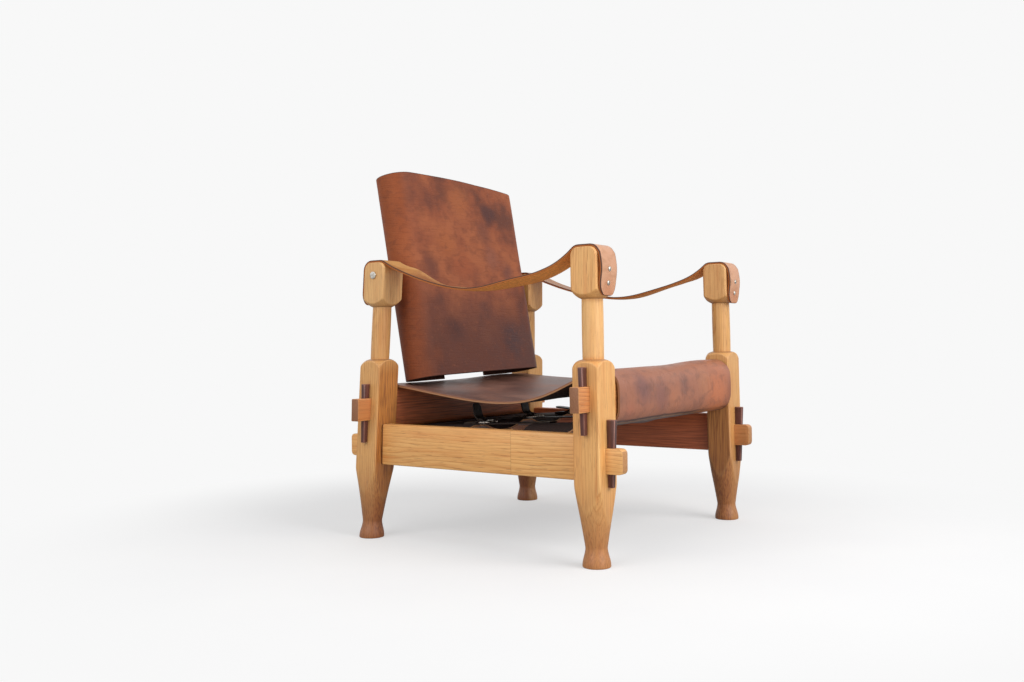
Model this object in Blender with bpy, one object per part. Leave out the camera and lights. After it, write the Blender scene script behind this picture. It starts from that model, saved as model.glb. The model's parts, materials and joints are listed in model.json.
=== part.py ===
"""Campaign chair: turned oak posts, wedged through-tenon rails, leather sling seat,
tilting leather-covered back and leather arm straps.

Metres, +Z up, front of the chair towards -Y, the sitter's left towards +X.
The origin lies on the floor in the middle of the chair's own box.
"""

import math

import bmesh
import bpy
from mathutils import Matrix, Vector

# Clearances and cutter overrun
FIT = 0.0003
OVERRUN = 0.004

# Post stock and where the posts stand, measured between post centres at the floor
POST_WIDTH = 0.0655
POST_DEPTH = 0.058
POST_SPAN_X = 0.610
POST_SPAN_Y = 0.570
POST_CHAMFER = 0.003

# How far the posts lean inwards and forwards, as shares of their height
FRONT_LEAN_SHARES = (0.013, -0.014)
REAR_LEAN_SHARES = (0.041, 0.040)

# Turned foot, from the floor up
FOOT_RADIUS = 0.027
FOOT_EASE = 0.003
FOOT_HEIGHT = 0.012
ANKLE_RADIUS = 0.021
ANKLE_HEIGHT = 0.037
ANKLE_SHARES = (0.35, 0.7, 1.0)
FOOT_TAPER_TOP = 0.161

# Block, neck and head of a post
BLOCK_TOP = 0.389
BLOCK_SHOULDER = 0.024
NECK_RADIUS = 0.0203
FRONT_LEFT_NECK_LIFT = 0.006
HEAD_BOTTOM = 0.503
HEAD_SHOULDER = 0.016
HEAD_TOP = 0.600
HEAD_ROUND = 0.016

# Side rails, front to rear
SIDE_RAIL_THICKNESS = 0.029
SIDE_RAIL_BOTTOM = 0.161
SIDE_RAIL_HEIGHT = 0.087
SIDE_TENON_CENTRE = 0.200
SIDE_TENON_ROUND = 0.009

# Front rail, which the seat leather rolls over
FRONT_RAIL_DEPTH = 0.060
FRONT_RAIL_BOTTOM = 0.264
FRONT_RAIL_HEIGHT = 0.100
FRONT_RAIL_ROUND = 0.027
FRONT_RAIL_SET_BACK = 0.0035
FRONT_TENON_CENTRE = 0.3155

# Rear rail
REAR_RAIL_DEPTH = 0.040
REAR_RAIL_BOTTOM = 0.235
REAR_RAIL_HEIGHT = 0.093
REAR_RAIL_ROUND = 0.012
REAR_TENON_CENTRE = 0.281

# Tenons that pass through the posts, and the edges of the rails
TENON_THICKNESS = 0.020
TENON_HEIGHT = 0.048
TENON_PROUD_X = 0.039
TENON_PROUD_Y = 0.0355
RAIL_EASE = 0.003
TENON_EASE = 0.0012

# Wedges through the tenons
WEDGE_THICKNESS = 0.010
WEDGE_TOP_WIDTH = 0.018
WEDGE_FOOT_WIDTH = 0.011
WEDGE_LENGTH = 0.127
WEDGE_ABOVE_CROSS_RAIL = 0.058
WEDGE_ABOVE_SIDE_RAIL = 0.074
WEDGE_EASE = 0.001
WEDGE_DROPS = {
    "front_rail_right": -0.002, "rear_rail_right": 0.003, "side_rail_front_left": 0.009,
    "side_rail_front_right": -0.003,
}
SLOT_RELIEF = 0.002

# Seat leather: a sling over both rails, drawn together below with belts
SEAT_LEATHER = 0.0048
SEAT_SIDE_GAP = 0.0033
SEAT_DIP = 0.064
SEAT_LOW_SHIFT = 0.034
SEAT_REAR_LEAVE_DEG = 7.0
SEAT_FRONT_LEAVE_DEG = 18.0
SEAT_SAG_SHARES = (0.36, 0.30, 0.50, 0.37)
SEAT_FLAP_GAP = 0.145
SEAT_GAP_SHIFT = 0.002

# Back: leather loop round two stiles joined by cross rails
BACK_LEATHER = 0.0048
BACK_ROUND = 0.046
BACK_CROWN = 0.004
BACK_BELOW_PIVOT = 0.2265
BACK_ABOVE_PIVOT = 0.235
BACK_TILT_DEG = 10.2
BACK_FLAP_GAP = 0.158
BACK_GAP_SHIFT = 0.013
PIVOT_BELOW_TOP = 0.028
PIVOT_AHEAD = 0.0032
STILE_INSET = 0.010
STILE_INNER = 0.006
BACK_RAIL_THICKNESS = 0.022
BACK_RAIL_HEIGHT = 0.045
BACK_RAIL_SPREAD = 0.150
BACK_RAIL_TENON = 0.018
BACK_RAIL_TENON_THICKNESS = 0.012
BACK_RAIL_TENON_HEIGHT = 0.033

# Pivot bolts and spacers
BOLT_RADIUS = 0.004
BOLT_HEAD_RADIUS = 0.008
BOLT_HEAD_HEIGHT = 0.0028
BOLT_HEAD_SHARES = ((1.0, 0.5), (0.75, 0.88), (0.4, 1.0))
BOLT_IN_STILE = 0.030
SPACER_GAP = 0.017
SPACER_RADIUS = 0.012
SPACER_WAIST_RADIUS = 0.0095

# Arm straps
STRAP_LEATHER = 0.0048
STRAP_WIDTH = 0.058
STRAP_LOW_HEIGHT = 0.5255
STRAP_LOW_SHIFT = 0.045
STRAP_FRONT_LEAVE_DEG = 42.0
STRAP_REAR_LEAVE_DEG = 30.0
STRAP_SAG_SHARES = (0.20, 0.50, 0.36, 0.22)
STRAP_END_HEIGHT = 0.508
STRAP_TONGUE = 0.026
STRAP_TIP_SHARE = 0.34
SCREW_HEIGHTS = (0.558, 0.532)
SCREW_RADIUS = 0.0016
SCREW_LENGTH = 0.022
SCREW_HEAD_RADIUS = 0.0038
SCREW_HEAD_HEIGHT = 0.0016
SCREW_HEAD_SHARES = ((1.0, 0.1), (0.85, 0.6), (0.45, 1.0))
SCREW_POINT_SHARE = 0.5

# Belts and buckles
BELT_WIDTH = 0.028
BELT_LEATHER = 0.003
BELT_LAP = 0.045
BELT_TIP = 0.014
BELT_TIP_SHARE = 0.35
CHAPE_LEATHER = 0.0025
CHAPE_LAP = 0.034
CHAPE_CLOSE_SHARE = 0.2
BUCKLE_BAR = 0.0035
BUCKLE_LENGTH = 0.030
BUCKLE_SIDE_GAP = 0.0015
BUCKLE_CORNER = 0.004
BUCKLE_HOLLOW_CORNER = 0.001
BUCKLE_EASE = 0.0007
BUCKLE_AHEAD = 0.008
PRONG_RADIUS = 0.0012
PRONG_PROUD = 0.002
SLOT_HALF_WIDTH = 0.0022
SEAT_TAIL_BEND = 0.012
SEAT_TAIL_LENGTH = 0.026
SEAT_TAIL_TURN_DEG = 78.0
BACK_TAIL_LENGTH = 0.070
LOW_TAIL_DROOP = 0.020
SEAT_BELT_SPREAD = 0.184
BACK_BELT_HEIGHTS = (-0.193, -0.010, 0.185)

# Steps of round shapes
QUARTER_STEPS = 6
TURN_STEPS = 24
PIN_STEPS = 16
SCREW_STEPS = 10
SAG_STEPS = 12

SIDES = (("right", -1), ("left", 1))
BELT_PLACES = ("right", "centre", "left")
BELT_LEVELS = ("low", "middle", "high")

POST_X = POST_SPAN_X / 2
POST_INNER_X = POST_X - POST_WIDTH / 2
POST_OUTER_X = POST_X + POST_WIDTH / 2
PIVOT_HEIGHT = HEAD_TOP - PIVOT_BELOW_TOP
SEAT_LOW_HEIGHT = FRONT_RAIL_BOTTOM + FRONT_RAIL_HEIGHT - SEAT_DIP
FLAP_LEVEL = BACK_ROUND + PIVOT_AHEAD


class PostPair:
    """The front or the rear pair of posts: where it stands and how it leans."""

    def __init__(self, name, out, lean_shares, tenon_centre):
        self.name = name
        self.out = out
        self.foot_y = out * POST_SPAN_Y / 2
        self.inward, self.forward = lean_shares
        self.tenon_centre = tenon_centre

    def x(self, height):
        """How far the posts' middle is from the chair's middle at a height."""
        return POST_X - self.inward * height

    def y(self, height, offset=0.0):
        """Y of the posts' middle, or of a point offset from it, at a height."""
        return self.foot_y + offset - self.forward * height

    def lean(self, side):
        """Shear that leans a mesh whose heights are true; a side of 0 leans it forwards only."""
        return Matrix((
            (1, 0, -side * self.inward, 0), (0, 1, -self.forward, 0), (0, 0, 1, 0), (0, 0, 0, 1)
        ))


FRONT = PostPair("front", -1, FRONT_LEAN_SHARES, FRONT_TENON_CENTRE)
REAR = PostPair("rear", 1, REAR_LEAN_SHARES, REAR_TENON_CENTRE)
PIVOT_Y = REAR.y(PIVOT_HEIGHT)
BACK_HALF_WIDTH = REAR.x(PIVOT_HEIGHT) - POST_WIDTH / 2 - SPACER_GAP
SIDE_SKEW_SHARE = (REAR.x(SIDE_TENON_CENTRE) - FRONT.x(SIDE_TENON_CENTRE)) / (
    REAR.y(SIDE_TENON_CENTRE) - FRONT.y(SIDE_TENON_CENTRE)
)


def inward_share(y, height):
    """How far inwards posts would lean at a Y, between the front pair and the rear pair at a height."""
    front_y, rear_y = FRONT.y(height, POST_DEPTH / 2), REAR.y(height, -POST_DEPTH / 2)
    share = min(max((y - front_y) / (rear_y - front_y), 0), 1)
    return FRONT.inward + (REAR.inward - FRONT.inward) * share


def side_rail_x(y):
    """How far a side rail's middle is from the chair's middle at a Y."""
    return FRONT.x(SIDE_TENON_CENTRE) + SIDE_SKEW_SHARE * (y - FRONT.y(SIDE_TENON_CENTRE))


def clear_scene():
    """Remove what the open file holds."""
    for item in list(bpy.data.objects):
        bpy.data.objects.remove(item, do_unlink=True)
    for mesh in list(bpy.data.meshes):
        bpy.data.meshes.remove(mesh)


def finish(name, colour, roughness, metallic=0.0):
    """A plain Principled material."""
    material = bpy.data.materials.new(name)
    material.use_nodes = True
    shader = material.node_tree.nodes["Principled BSDF"]
    shader.inputs["Base Color"].default_value = (*colour, 1.0)
    shader.inputs["Roughness"].default_value = roughness
    shader.inputs["Metallic"].default_value = metallic
    material.diffuse_color = (*colour, 1.0)
    return material


def mesh_of(name, points, faces):
    """A mesh from points and faces, with its faces turned outwards."""
    mesh = bpy.data.meshes.new(name)
    shape = bmesh.new()
    verts = [shape.verts.new(point) for point in points]
    for face in faces:
        shape.faces.new([verts[i] for i in face])
    bmesh.ops.recalc_face_normals(shape, faces=shape.faces)
    shape.to_mesh(mesh)
    shape.free()
    return mesh


def joined(name, meshes):
    """One mesh that holds several separate bodies."""
    mesh = bpy.data.meshes.new(name)
    shape = bmesh.new()
    for part in meshes:
        shape.from_mesh(part)
    shape.to_mesh(mesh)
    shape.free()
    return mesh


def moved(mesh, matrix):
    """A copy of a mesh, transformed."""
    copy = mesh.copy()
    copy.transform(matrix)
    return copy


def add(name, mesh, material, parent=None, location=(0, 0, 0), smooth=False):
    """Place a mesh in the scene as a named piece."""
    piece = bpy.data.objects.new(name, mesh)
    bpy.context.scene.collection.objects.link(piece)
    piece.location = location
    piece.parent = parent
    if material and not mesh.materials:
        mesh.materials.append(material)
    if smooth:
        mesh.shade_smooth()
        mesh.set_sharp_from_angle(angle=math.radians(30))
    return piece


def cut(piece, mesh, operation="DIFFERENCE"):
    """Cut a piece with a mesh in the piece's own coordinates, or unite or intersect the two."""
    cutter = add(piece.name + "_cutter", mesh, None, piece.parent, piece.location)
    cutter.rotation_euler = piece.rotation_euler
    cutter.hide_render = True
    cutter.display_type = "WIRE"
    change = piece.modifiers.new(operation.lower(), "BOOLEAN")
    change.operation = operation
    change.object = cutter
    change.solver = "EXACT"


def prism(name, outline, low, high, place):
    """Extrude a closed outline from low to high; place(a, b, w) gives the point in space."""
    count = len(outline)
    points = [place(a, b, w) for w in (low, high) for a, b in outline]
    faces = [tuple(range(count)), tuple(range(2 * count - 1, count - 1, -1))]
    for i in range(count):
        j = (i + 1) % count
        faces.append((i, j, count + j, count + i))
    return mesh_of(name, points, faces)


def along_x(y, z, x):
    """Outline in Y and Z, extruded along X."""
    return (x, y, z)


def along_y(x, z, y):
    """Outline in X and Z, extruded along Y."""
    return (x, y, z)


def along_z(x, y, z):
    """Outline in X and Y, extruded along Z."""
    return (x, y, z)


def block(name, low, high):
    """A box between two corners."""
    outline = [(low[0], low[1]), (high[0], low[1]), (high[0], high[1]), (low[0], high[1])]
    return prism(name, outline, low[2], high[2], along_z)


def arc(centre, radius, start_deg, end_deg, steps=QUARTER_STEPS):
    """Points along an arc, both ends included."""
    points = []
    for i in range(steps + 1):
        angle = math.radians(start_deg + (end_deg - start_deg) * i / steps)
        points.append((centre[0] + radius * math.cos(angle), centre[1] + radius * math.sin(angle)))
    return points


def corner_centres(low, high, radius):
    """Centres of the round corners of a rectangle: low-low, high-low, high-high, low-high."""
    return [
        (low[0] + radius, low[1] + radius),
        (high[0] - radius, low[1] + radius),
        (high[0] - radius, high[1] - radius),
        (low[0] + radius, high[1] - radius),
    ]


def rounded(low, high, radius, steps=QUARTER_STEPS):
    """Outline of a rectangle with round corners, counter-clockwise."""
    points = []
    for i, centre in enumerate(corner_centres(low, high, radius)):
        points += arc(centre, radius, 180 + 90 * i, 270 + 90 * i, steps)
    return points


def disc(centre, radius, steps):
    """Outline of a round, without a doubled end."""
    return arc(centre, radius, 0, 360, steps)[:-1]


def curve(start, start_handle, end_handle, end, steps=SAG_STEPS):
    """Points of a cubic curve between two points, both ends included."""
    points = []
    for i in range(steps + 1):
        t = i / steps
        weights = ((1 - t) ** 3, 3 * t * (1 - t) ** 2, 3 * t * t * (1 - t), t ** 3)
        knots = (start, start_handle, end_handle, end)
        points.append(tuple(sum(w * k[axis] for w, k in zip(weights, knots)) for axis in (0, 1)))
    return points


def turned(name, profile, steps, place=along_z):
    """Turn a profile of (radius, length) pairs about an axis and close both ends."""
    points = []
    for radius, length in profile:
        for a, b in disc((0, 0), radius, steps):
            points.append(place(a, b, length))
    faces = [tuple(range(steps)), tuple(range(len(points) - 1, len(points) - 1 - steps, -1))]
    for row in range(len(profile) - 1):
        for i in range(steps):
            j = (i + 1) % steps
            base = row * steps
            faces.append((base + i, base + j, base + steps + j, base + steps + i))
    return mesh_of(name, points, faces)


def path_sides(path, thickness):
    """The two faces of a sheet whose middle follows a path, with mitred bends."""
    sides = ([], [])
    for i, (a, b) in enumerate(path):
        before = path[max(i - 1, 0)]
        after = path[min(i + 1, len(path) - 1)]
        into = Vector((a - before[0], b - before[1])) if i else None
        out = Vector((after[0] - a, after[1] - b)) if i < len(path) - 1 else None
        into = (into or out).normalized()
        out = (out or into).normalized()
        middle = (into + out).normalized()
        reach = thickness / 2 / max(middle.dot(into), 0.5)
        for side, sign in zip(sides, (1, -1)):
            side.append((a - sign * middle.y * reach, b + sign * middle.x * reach))
    return sides


def sheet(name, path, thickness, edges, place):
    """A sheet of even thickness along a path; edges holds its (low, high) edge at each point."""
    points = []
    upper, lower = path_sides(path, thickness)
    for top, bottom, (low, high) in zip(upper, lower, edges):
        points += [place(*top, low), place(*top, high), place(*bottom, high), place(*bottom, low)]
    last = len(points) - 4
    faces = [(0, 1, 2, 3), (last + 3, last + 2, last + 1, last)]
    for row in range(0, last, 4):
        for i in range(4):
            j = (i + 1) % 4
            faces.append((row + i, row + j, row + 4 + j, row + 4 + i))
    return mesh_of(name, points, faces)


def tube(name, path, radius, steps):
    """A round bar along a path of points in space."""
    points = []
    side = Vector((0, 0, 1)) if abs((path[1] - path[0]).normalized().z) < 0.9 else Vector((1, 0, 0))
    for i, point in enumerate(path):
        ahead = (path[min(i + 1, len(path) - 1)] - path[max(i - 1, 0)]).normalized()
        first = ahead.cross(side).normalized()
        second = ahead.cross(first).normalized()
        for a, b in disc((0, 0), radius, steps):
            points.append(point + first * a + second * b)
    faces = [tuple(range(steps)), tuple(range(len(points) - 1, len(points) - 1 - steps, -1))]
    for row in range(len(path) - 1):
        for i in range(steps):
            j = (i + 1) % steps
            base = row * steps
            faces.append((base + i, base + j, base + steps + j, base + steps + i))
    return mesh_of(name, points, faces)


def taper_to_tip(lengths, total, half_width, tip, tip_share):
    """Half widths of a strap that ends in a rounded tongue at its far end."""
    widths = []
    for length in lengths:
        into = max(0.0, length - (total - tip)) / tip
        round_share = math.sqrt(max(0.0, 1 - into * into))
        widths.append(half_width * (tip_share + (1 - tip_share) * round_share))
    return widths


def path_lengths(path):
    """Length along a path at each of its points."""
    lengths = [0.0]
    for before, after in zip(path, path[1:]):
        lengths.append(lengths[-1] + math.dist(before, after))
    return lengths


def refined_end(path, reach, steps):
    """Divide the last straight stretch of a path, over a length, into even steps."""
    before, end = path[-2], path[-1]
    length = math.dist(before, end)
    start = 1 - min(reach, length) / length
    extra = []
    for i in range(steps):
        share = start + (1 - start) * math.sin(math.pi / 2 * i / steps)
        extra.append(tuple(p + (q - p) * share for p, q in zip(before, end)))
    if math.dist(extra[0], before) < FIT:
        extra = extra[1:]
    return path[:-1] + extra + [end]


def quarter_profile(inner, outer, start, end, steps=4):
    """Radii of a turned quarter round between two lengths, from the outer radius to the inner."""
    points = []
    for i in range(steps + 1):
        angle = math.pi / 2 * i / steps
        points.append((inner + (outer - inner) * math.cos(angle), start + (end - start) * math.sin(angle)))
    return points


def post_profile(lift):
    """Profile that the lathe cuts; it leaves the square stock where it is wider than the stock."""
    full = math.hypot(POST_WIDTH, POST_DEPTH) / 2
    profile = [(FOOT_RADIUS - FOOT_EASE, 0), (FOOT_RADIUS, FOOT_EASE), (FOOT_RADIUS, FOOT_HEIGHT)]
    rise = ANKLE_HEIGHT - FOOT_HEIGHT
    for share in ANKLE_SHARES:
        bend = (1 + math.cos(math.pi * share)) / 2
        profile.append((ANKLE_RADIUS + (FOOT_RADIUS - ANKLE_RADIUS) * bend, FOOT_HEIGHT + rise * share))
    profile.append((full, FOOT_TAPER_TOP))
    top, bottom = BLOCK_TOP + lift, HEAD_BOTTOM + lift
    profile += quarter_profile(NECK_RADIUS, full, top - BLOCK_SHOULDER, top)
    profile += quarter_profile(NECK_RADIUS, full, bottom + HEAD_SHOULDER, bottom)[::-1]
    profile.append((full, HEAD_TOP + OVERRUN))
    return profile


def screw_holes(face_y, out):
    """Cutters for the strap screws in a head, drilled from its face inwards."""
    deep = face_y - out * (SCREW_LENGTH + FIT)
    return [
        prism("hole", disc((0, height), SCREW_RADIUS + FIT, SCREW_STEPS), deep, face_y + out * OVERRUN, along_y)
        for height in SCREW_HEIGHTS
    ]


def make_post(pair, side_name, side, lift, material):
    """A post: square stock, turned where the profile is slimmer, with its mortises."""
    name = "post_" + pair.name + "_" + side_name
    half_x, half_y = POST_WIDTH / 2, POST_DEPTH / 2
    wide_x, wide_y = half_x + OVERRUN, half_y + OVERRUN
    short_x, short_y = half_x - POST_CHAMFER - OVERRUN, half_y - POST_CHAMFER - OVERRUN
    chamfered = [
        (-short_x, -wide_y), (short_x, -wide_y), (wide_x, -short_y), (wide_x, short_y),
        (short_x, wide_y), (-short_x, wide_y), (-wide_x, short_y), (-wide_x, -short_y),
    ]
    level = HEAD_TOP - HEAD_ROUND
    side_view = [(-half_y, 0), (half_y, 0)]
    side_view += arc((half_y - HEAD_ROUND, level), HEAD_ROUND, 0, 90)
    side_view += arc((-half_y + HEAD_ROUND, level), HEAD_ROUND, 90, 180)
    body = prism(name, side_view, -half_x, half_x, along_x)
    edges = prism(name, chamfered, -OVERRUN, HEAD_TOP + OVERRUN, along_z)
    lathe = turned(name, post_profile(lift), TURN_STEPS)
    slot = TENON_THICKNESS / 2 + FIT
    rise = TENON_HEIGHT / 2 + FIT
    holes = screw_holes(pair.out * half_y, pair.out)
    holes.append(block(
        name, (-half_x - OVERRUN, -slot, pair.tenon_centre - rise), (half_x + OVERRUN, slot, pair.tenon_centre + rise)
    ))
    if pair is REAR:
        bore = disc((0, PIVOT_HEIGHT), BOLT_RADIUS + FIT, PIN_STEPS)
        holes.append(prism(name, bore, -half_x - OVERRUN, half_x + OVERRUN, along_x))
    shapes = [moved(shape, pair.lean(side)) for shape in (body, edges, lathe, joined(name, holes))]
    reach = half_y + 2 * OVERRUN
    side_mortise = block(name, (-slot, -reach, SIDE_TENON_CENTRE - rise), (slot, reach, SIDE_TENON_CENTRE + rise))
    centre = (pair.x(SIDE_TENON_CENTRE) - POST_X, pair.y(SIDE_TENON_CENTRE) - pair.foot_y)
    turn = Matrix.Translation((side * centre[0], centre[1], 0)) @ skew(side)
    post = add(name, shapes[0], material, location=(side * POST_X, pair.foot_y, 0), smooth=True)
    cut(post, shapes[1], "INTERSECT")
    cut(post, shapes[2], "INTERSECT")
    cut(post, shapes[3])
    cut(post, moved(side_mortise, turn))


def wedge_outline(top, bottom, clearance=0.0, start=None):
    """A wedge's outline: distance out from the post's face, and height. Its inner face is upright."""
    slope = (WEDGE_TOP_WIDTH - WEDGE_FOOT_WIDTH) / WEDGE_LENGTH
    wedge_foot = FIT + WEDGE_FOOT_WIDTH + clearance

    def outer(height):
        return wedge_foot + slope * (height + WEDGE_LENGTH)

    inner = FIT if start is None else start
    return [(inner, bottom), (outer(bottom), bottom), (outer(top), top), (inner, top)]


def cross_slot(name, pair):
    """Wedge slots at both ends of a front or rear rail's tenon, in the rail's coordinates."""
    centre = pair.tenon_centre
    low, high = centre - TENON_HEIGHT / 2 - OVERRUN, centre + TENON_HEIGHT / 2 + OVERRUN
    half = WEDGE_THICKNESS / 2 + FIT
    slots = []
    for side_name, side in SIDES:
        top = centre + WEDGE_ABOVE_CROSS_RAIL - wedge_drop(pair.name + "_rail_" + side_name)
        outline = wedge_outline(high - top, low - top, FIT, -SLOT_RELIEF)
        slot = prism(name, [(side * (POST_OUTER_X + out), top + z) for out, z in outline], -half, half, along_y)
        slots.append(moved(slot, pair.lean(side)))
    return joined(name, slots)


def make_cross_rail(pair, set_back, depth, bottom, height, radius, material):
    """Front or rear rail: a round-edged beam with a tenon through each post."""
    name = pair.name + "_rail"
    low = (set_back - depth / 2, bottom)
    high = (set_back + depth / 2, bottom + height)

    def between_posts(y, z, side):
        """Point of the beam, whose ends follow the leaning posts."""
        return (side * (POST_INNER_X - FIT - pair.inward * z), y, z)

    beam = prism(name, rounded(low, high, radius), -1, 1, between_posts)
    reach = pair.x(pair.tenon_centre) + POST_WIDTH / 2 + TENON_PROUD_X
    half = TENON_THICKNESS / 2
    tenon = prism(name, rounded(
        (-half, pair.tenon_centre - TENON_HEIGHT / 2), (half, pair.tenon_centre + TENON_HEIGHT / 2), TENON_EASE, 1
    ), -reach, reach, along_x)
    rail = add(name, moved(beam, pair.lean(0)), material, location=(0, pair.foot_y, 0), smooth=True)
    cut(rail, moved(tenon, pair.lean(0)), "UNION")
    cut(rail, cross_slot(name, pair))


def skew(side):
    """Shear in plan that turns a rail towards its leaning posts."""
    return Matrix(((1, side * SIDE_SKEW_SHARE, 0, 0), (0, 1, 0, 0), (0, 0, 1, 0), (0, 0, 0, 1)))


def side_tenon_end(pair):
    """Y of a side rail's end beyond a pair of posts."""
    return pair.y(SIDE_TENON_CENTRE, pair.out * (POST_DEPTH / 2 + TENON_PROUD_Y))


def make_side_rail(side_name, side, material):
    """Side rail: a flat board whose tenons pass through a front and a rear post."""
    name = "side_rail_" + side_name
    half = SIDE_RAIL_THICKNESS / 2
    bottom, top = SIDE_RAIL_BOTTOM, SIDE_RAIL_BOTTOM + SIDE_RAIL_HEIGHT

    def between_posts(across, height, share):
        """Point of the board; share runs from the front post to the rear post."""
        front = FRONT.y(height, POST_DEPTH / 2 + FIT)
        rear = REAR.y(height, -POST_DEPTH / 2 - FIT)
        return (across, front + (rear - front) * share, height)

    board = prism(name, rounded((-half, bottom), (half, top), RAIL_EASE, 2), 0, 1, between_posts)
    low, high = SIDE_TENON_CENTRE - TENON_HEIGHT / 2, SIDE_TENON_CENTRE + TENON_HEIGHT / 2
    half_tenon = TENON_THICKNESS / 2
    tenon = prism(name, rounded(
        (side_tenon_end(FRONT), low), (side_tenon_end(REAR), high), SIDE_TENON_ROUND, 4
    ), -half_tenon, half_tenon, along_x)
    width = WEDGE_THICKNESS / 2 + FIT
    slots = []
    for pair in (FRONT, REAR):
        wedge_top = SIDE_TENON_CENTRE + WEDGE_ABOVE_SIDE_RAIL
        wedge_top -= wedge_drop("side_rail_" + pair.name + "_" + side_name)
        outline = wedge_outline(high + OVERRUN - wedge_top, low - OVERRUN - wedge_top, FIT, -SLOT_RELIEF)
        face = pair.foot_y + pair.out * POST_DEPTH / 2
        points = [(face + pair.out * out, wedge_top + z) for out, z in outline]
        slots.append(moved(prism(name, points, -width, width, along_x), pair.lean(0)))
    rail = add(name, moved(board, skew(side)), material, location=(side * side_rail_x(0), 0, 0), smooth=True)
    cut(rail, moved(tenon, skew(side)), "UNION")
    cut(rail, moved(joined(name, slots), skew(side)))


def wedge_drop(place):
    """How much lower than the others a wedge sits."""
    return WEDGE_DROPS.get(place, 0)


def make_wedge(place, location, pair, side, along_side, material):
    """A wedge, with its origin at the middle of the tenon that it locks."""
    above = (WEDGE_ABOVE_SIDE_RAIL if along_side else WEDGE_ABOVE_CROSS_RAIL) - wedge_drop(place)
    outline = [(out, above + height) for out, height in wedge_outline(0, -WEDGE_LENGTH)]
    half = WEDGE_THICKNESS / 2
    name = "wedge_" + place
    if along_side:
        mesh = prism(name, [(pair.out * out, height) for out, height in outline], -half, half, along_x)
        mesh = moved(mesh, skew(side) @ pair.lean(0))
    else:
        mesh = prism(name, [(side * out, height) for out, height in outline], -half, half, along_y)
        mesh = moved(mesh, pair.lean(side))
    wedge = add(name, mesh, material, location=location)
    ease = wedge.modifiers.new("eased_edges", "BEVEL")
    ease.width = WEDGE_EASE
    ease.segments = 1


def make_wedges(material):
    """All eight wedges: one at each end of each rail."""
    for side_name, side in SIDES:
        for pair in (FRONT, REAR):
            height = pair.tenon_centre
            place = (side * (pair.x(height) + POST_WIDTH / 2), pair.y(height), height)
            make_wedge(pair.name + "_rail_" + side_name, place, pair, side, False, material)
            face = pair.y(SIDE_TENON_CENTRE, pair.out * POST_DEPTH / 2)
            place = (side * side_rail_x(face), face, SIDE_TENON_CENTRE)
            make_wedge("side_rail_" + pair.name + "_" + side_name, place, pair, side, True, material)


def toward(point, length, angle_deg):
    """The point a length away from another, at an angle."""
    angle = math.radians(angle_deg)
    return (point[0] + length * math.cos(angle), point[1] + length * math.sin(angle))


def rail_arc(pair, set_back, depth, bottom, height, radius, grow):
    """A function that gives points of arcs round a cross rail's corners, in the part's Y and Z."""
    corners = corner_centres((set_back - depth / 2, bottom), (set_back + depth / 2, bottom + height), radius)

    def points(corner, start_deg, end_deg, steps=QUARTER_STEPS):
        flat = arc(corners[corner], radius + grow, start_deg, end_deg, steps)
        return [(pair.y(z, y), z) for y, z in flat]

    return points


def seat_path():
    """Middle line of the seat leather in Y and Z, and where its lower stretch runs."""
    grow = FIT + SEAT_LEATHER / 2
    front_arc = rail_arc(
        FRONT, FRONT_RAIL_SET_BACK, FRONT_RAIL_DEPTH, FRONT_RAIL_BOTTOM, FRONT_RAIL_HEIGHT, FRONT_RAIL_ROUND, grow
    )
    rear_arc = rail_arc(REAR, 0, REAR_RAIL_DEPTH, REAR_RAIL_BOTTOM, REAR_RAIL_HEIGHT, REAR_RAIL_ROUND, grow)
    lowest_front, lowest_rear = front_arc(0, 270, 270, 1)[0], rear_arc(0, 270, 270, 1)[0]
    rise = lowest_rear[1] - lowest_front[1]
    slope_deg = math.degrees(math.atan2(rise, lowest_rear[0] - lowest_front[0]))
    over_rear = rear_arc(0, 270 + slope_deg, 270, 1) + rear_arc(1, 270, 360) + rear_arc(2, 0, 90)
    over_rear += rear_arc(3, 90, 90 + SEAT_REAR_LEAVE_DEG, 2)
    over_front = front_arc(2, 90 - SEAT_FRONT_LEAVE_DEG, 90, 2)
    over_front += front_arc(3, 90, 180) + front_arc(0, 180, 270 + slope_deg)
    low = (-SEAT_LOW_SHIFT, SEAT_LOW_HEIGHT)
    start, end = over_rear[-1], over_front[0]
    rear_run, front_run = start[0] - low[0], low[0] - end[0]
    shares = SEAT_SAG_SHARES
    rear_sag = curve(
        start, toward(start, rear_run * shares[0], 180 + SEAT_REAR_LEAVE_DEG), (low[0] + rear_run * shares[1], low[1]), low
    )
    front_sag = curve(
        low, (low[0] - front_run * shares[2], low[1]),
        toward(end, front_run * shares[3], -SEAT_FRONT_LEAVE_DEG), end
    )
    line_start, line_end = over_front[-1], over_rear[0]

    def on_line(y):
        share = (y - line_start[0]) / (line_end[0] - line_start[0])
        return (y, line_start[1] + (line_end[1] - line_start[1]) * share)

    front_end = on_line(SEAT_GAP_SHIFT - SEAT_FLAP_GAP / 2)
    rear_end = on_line(SEAT_GAP_SHIFT + SEAT_FLAP_GAP / 2)
    path = [rear_end] + over_rear + rear_sag[1:] + front_sag[1:-1] + over_front + [front_end]
    return path, slope_deg, on_line(SEAT_GAP_SHIFT)


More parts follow.
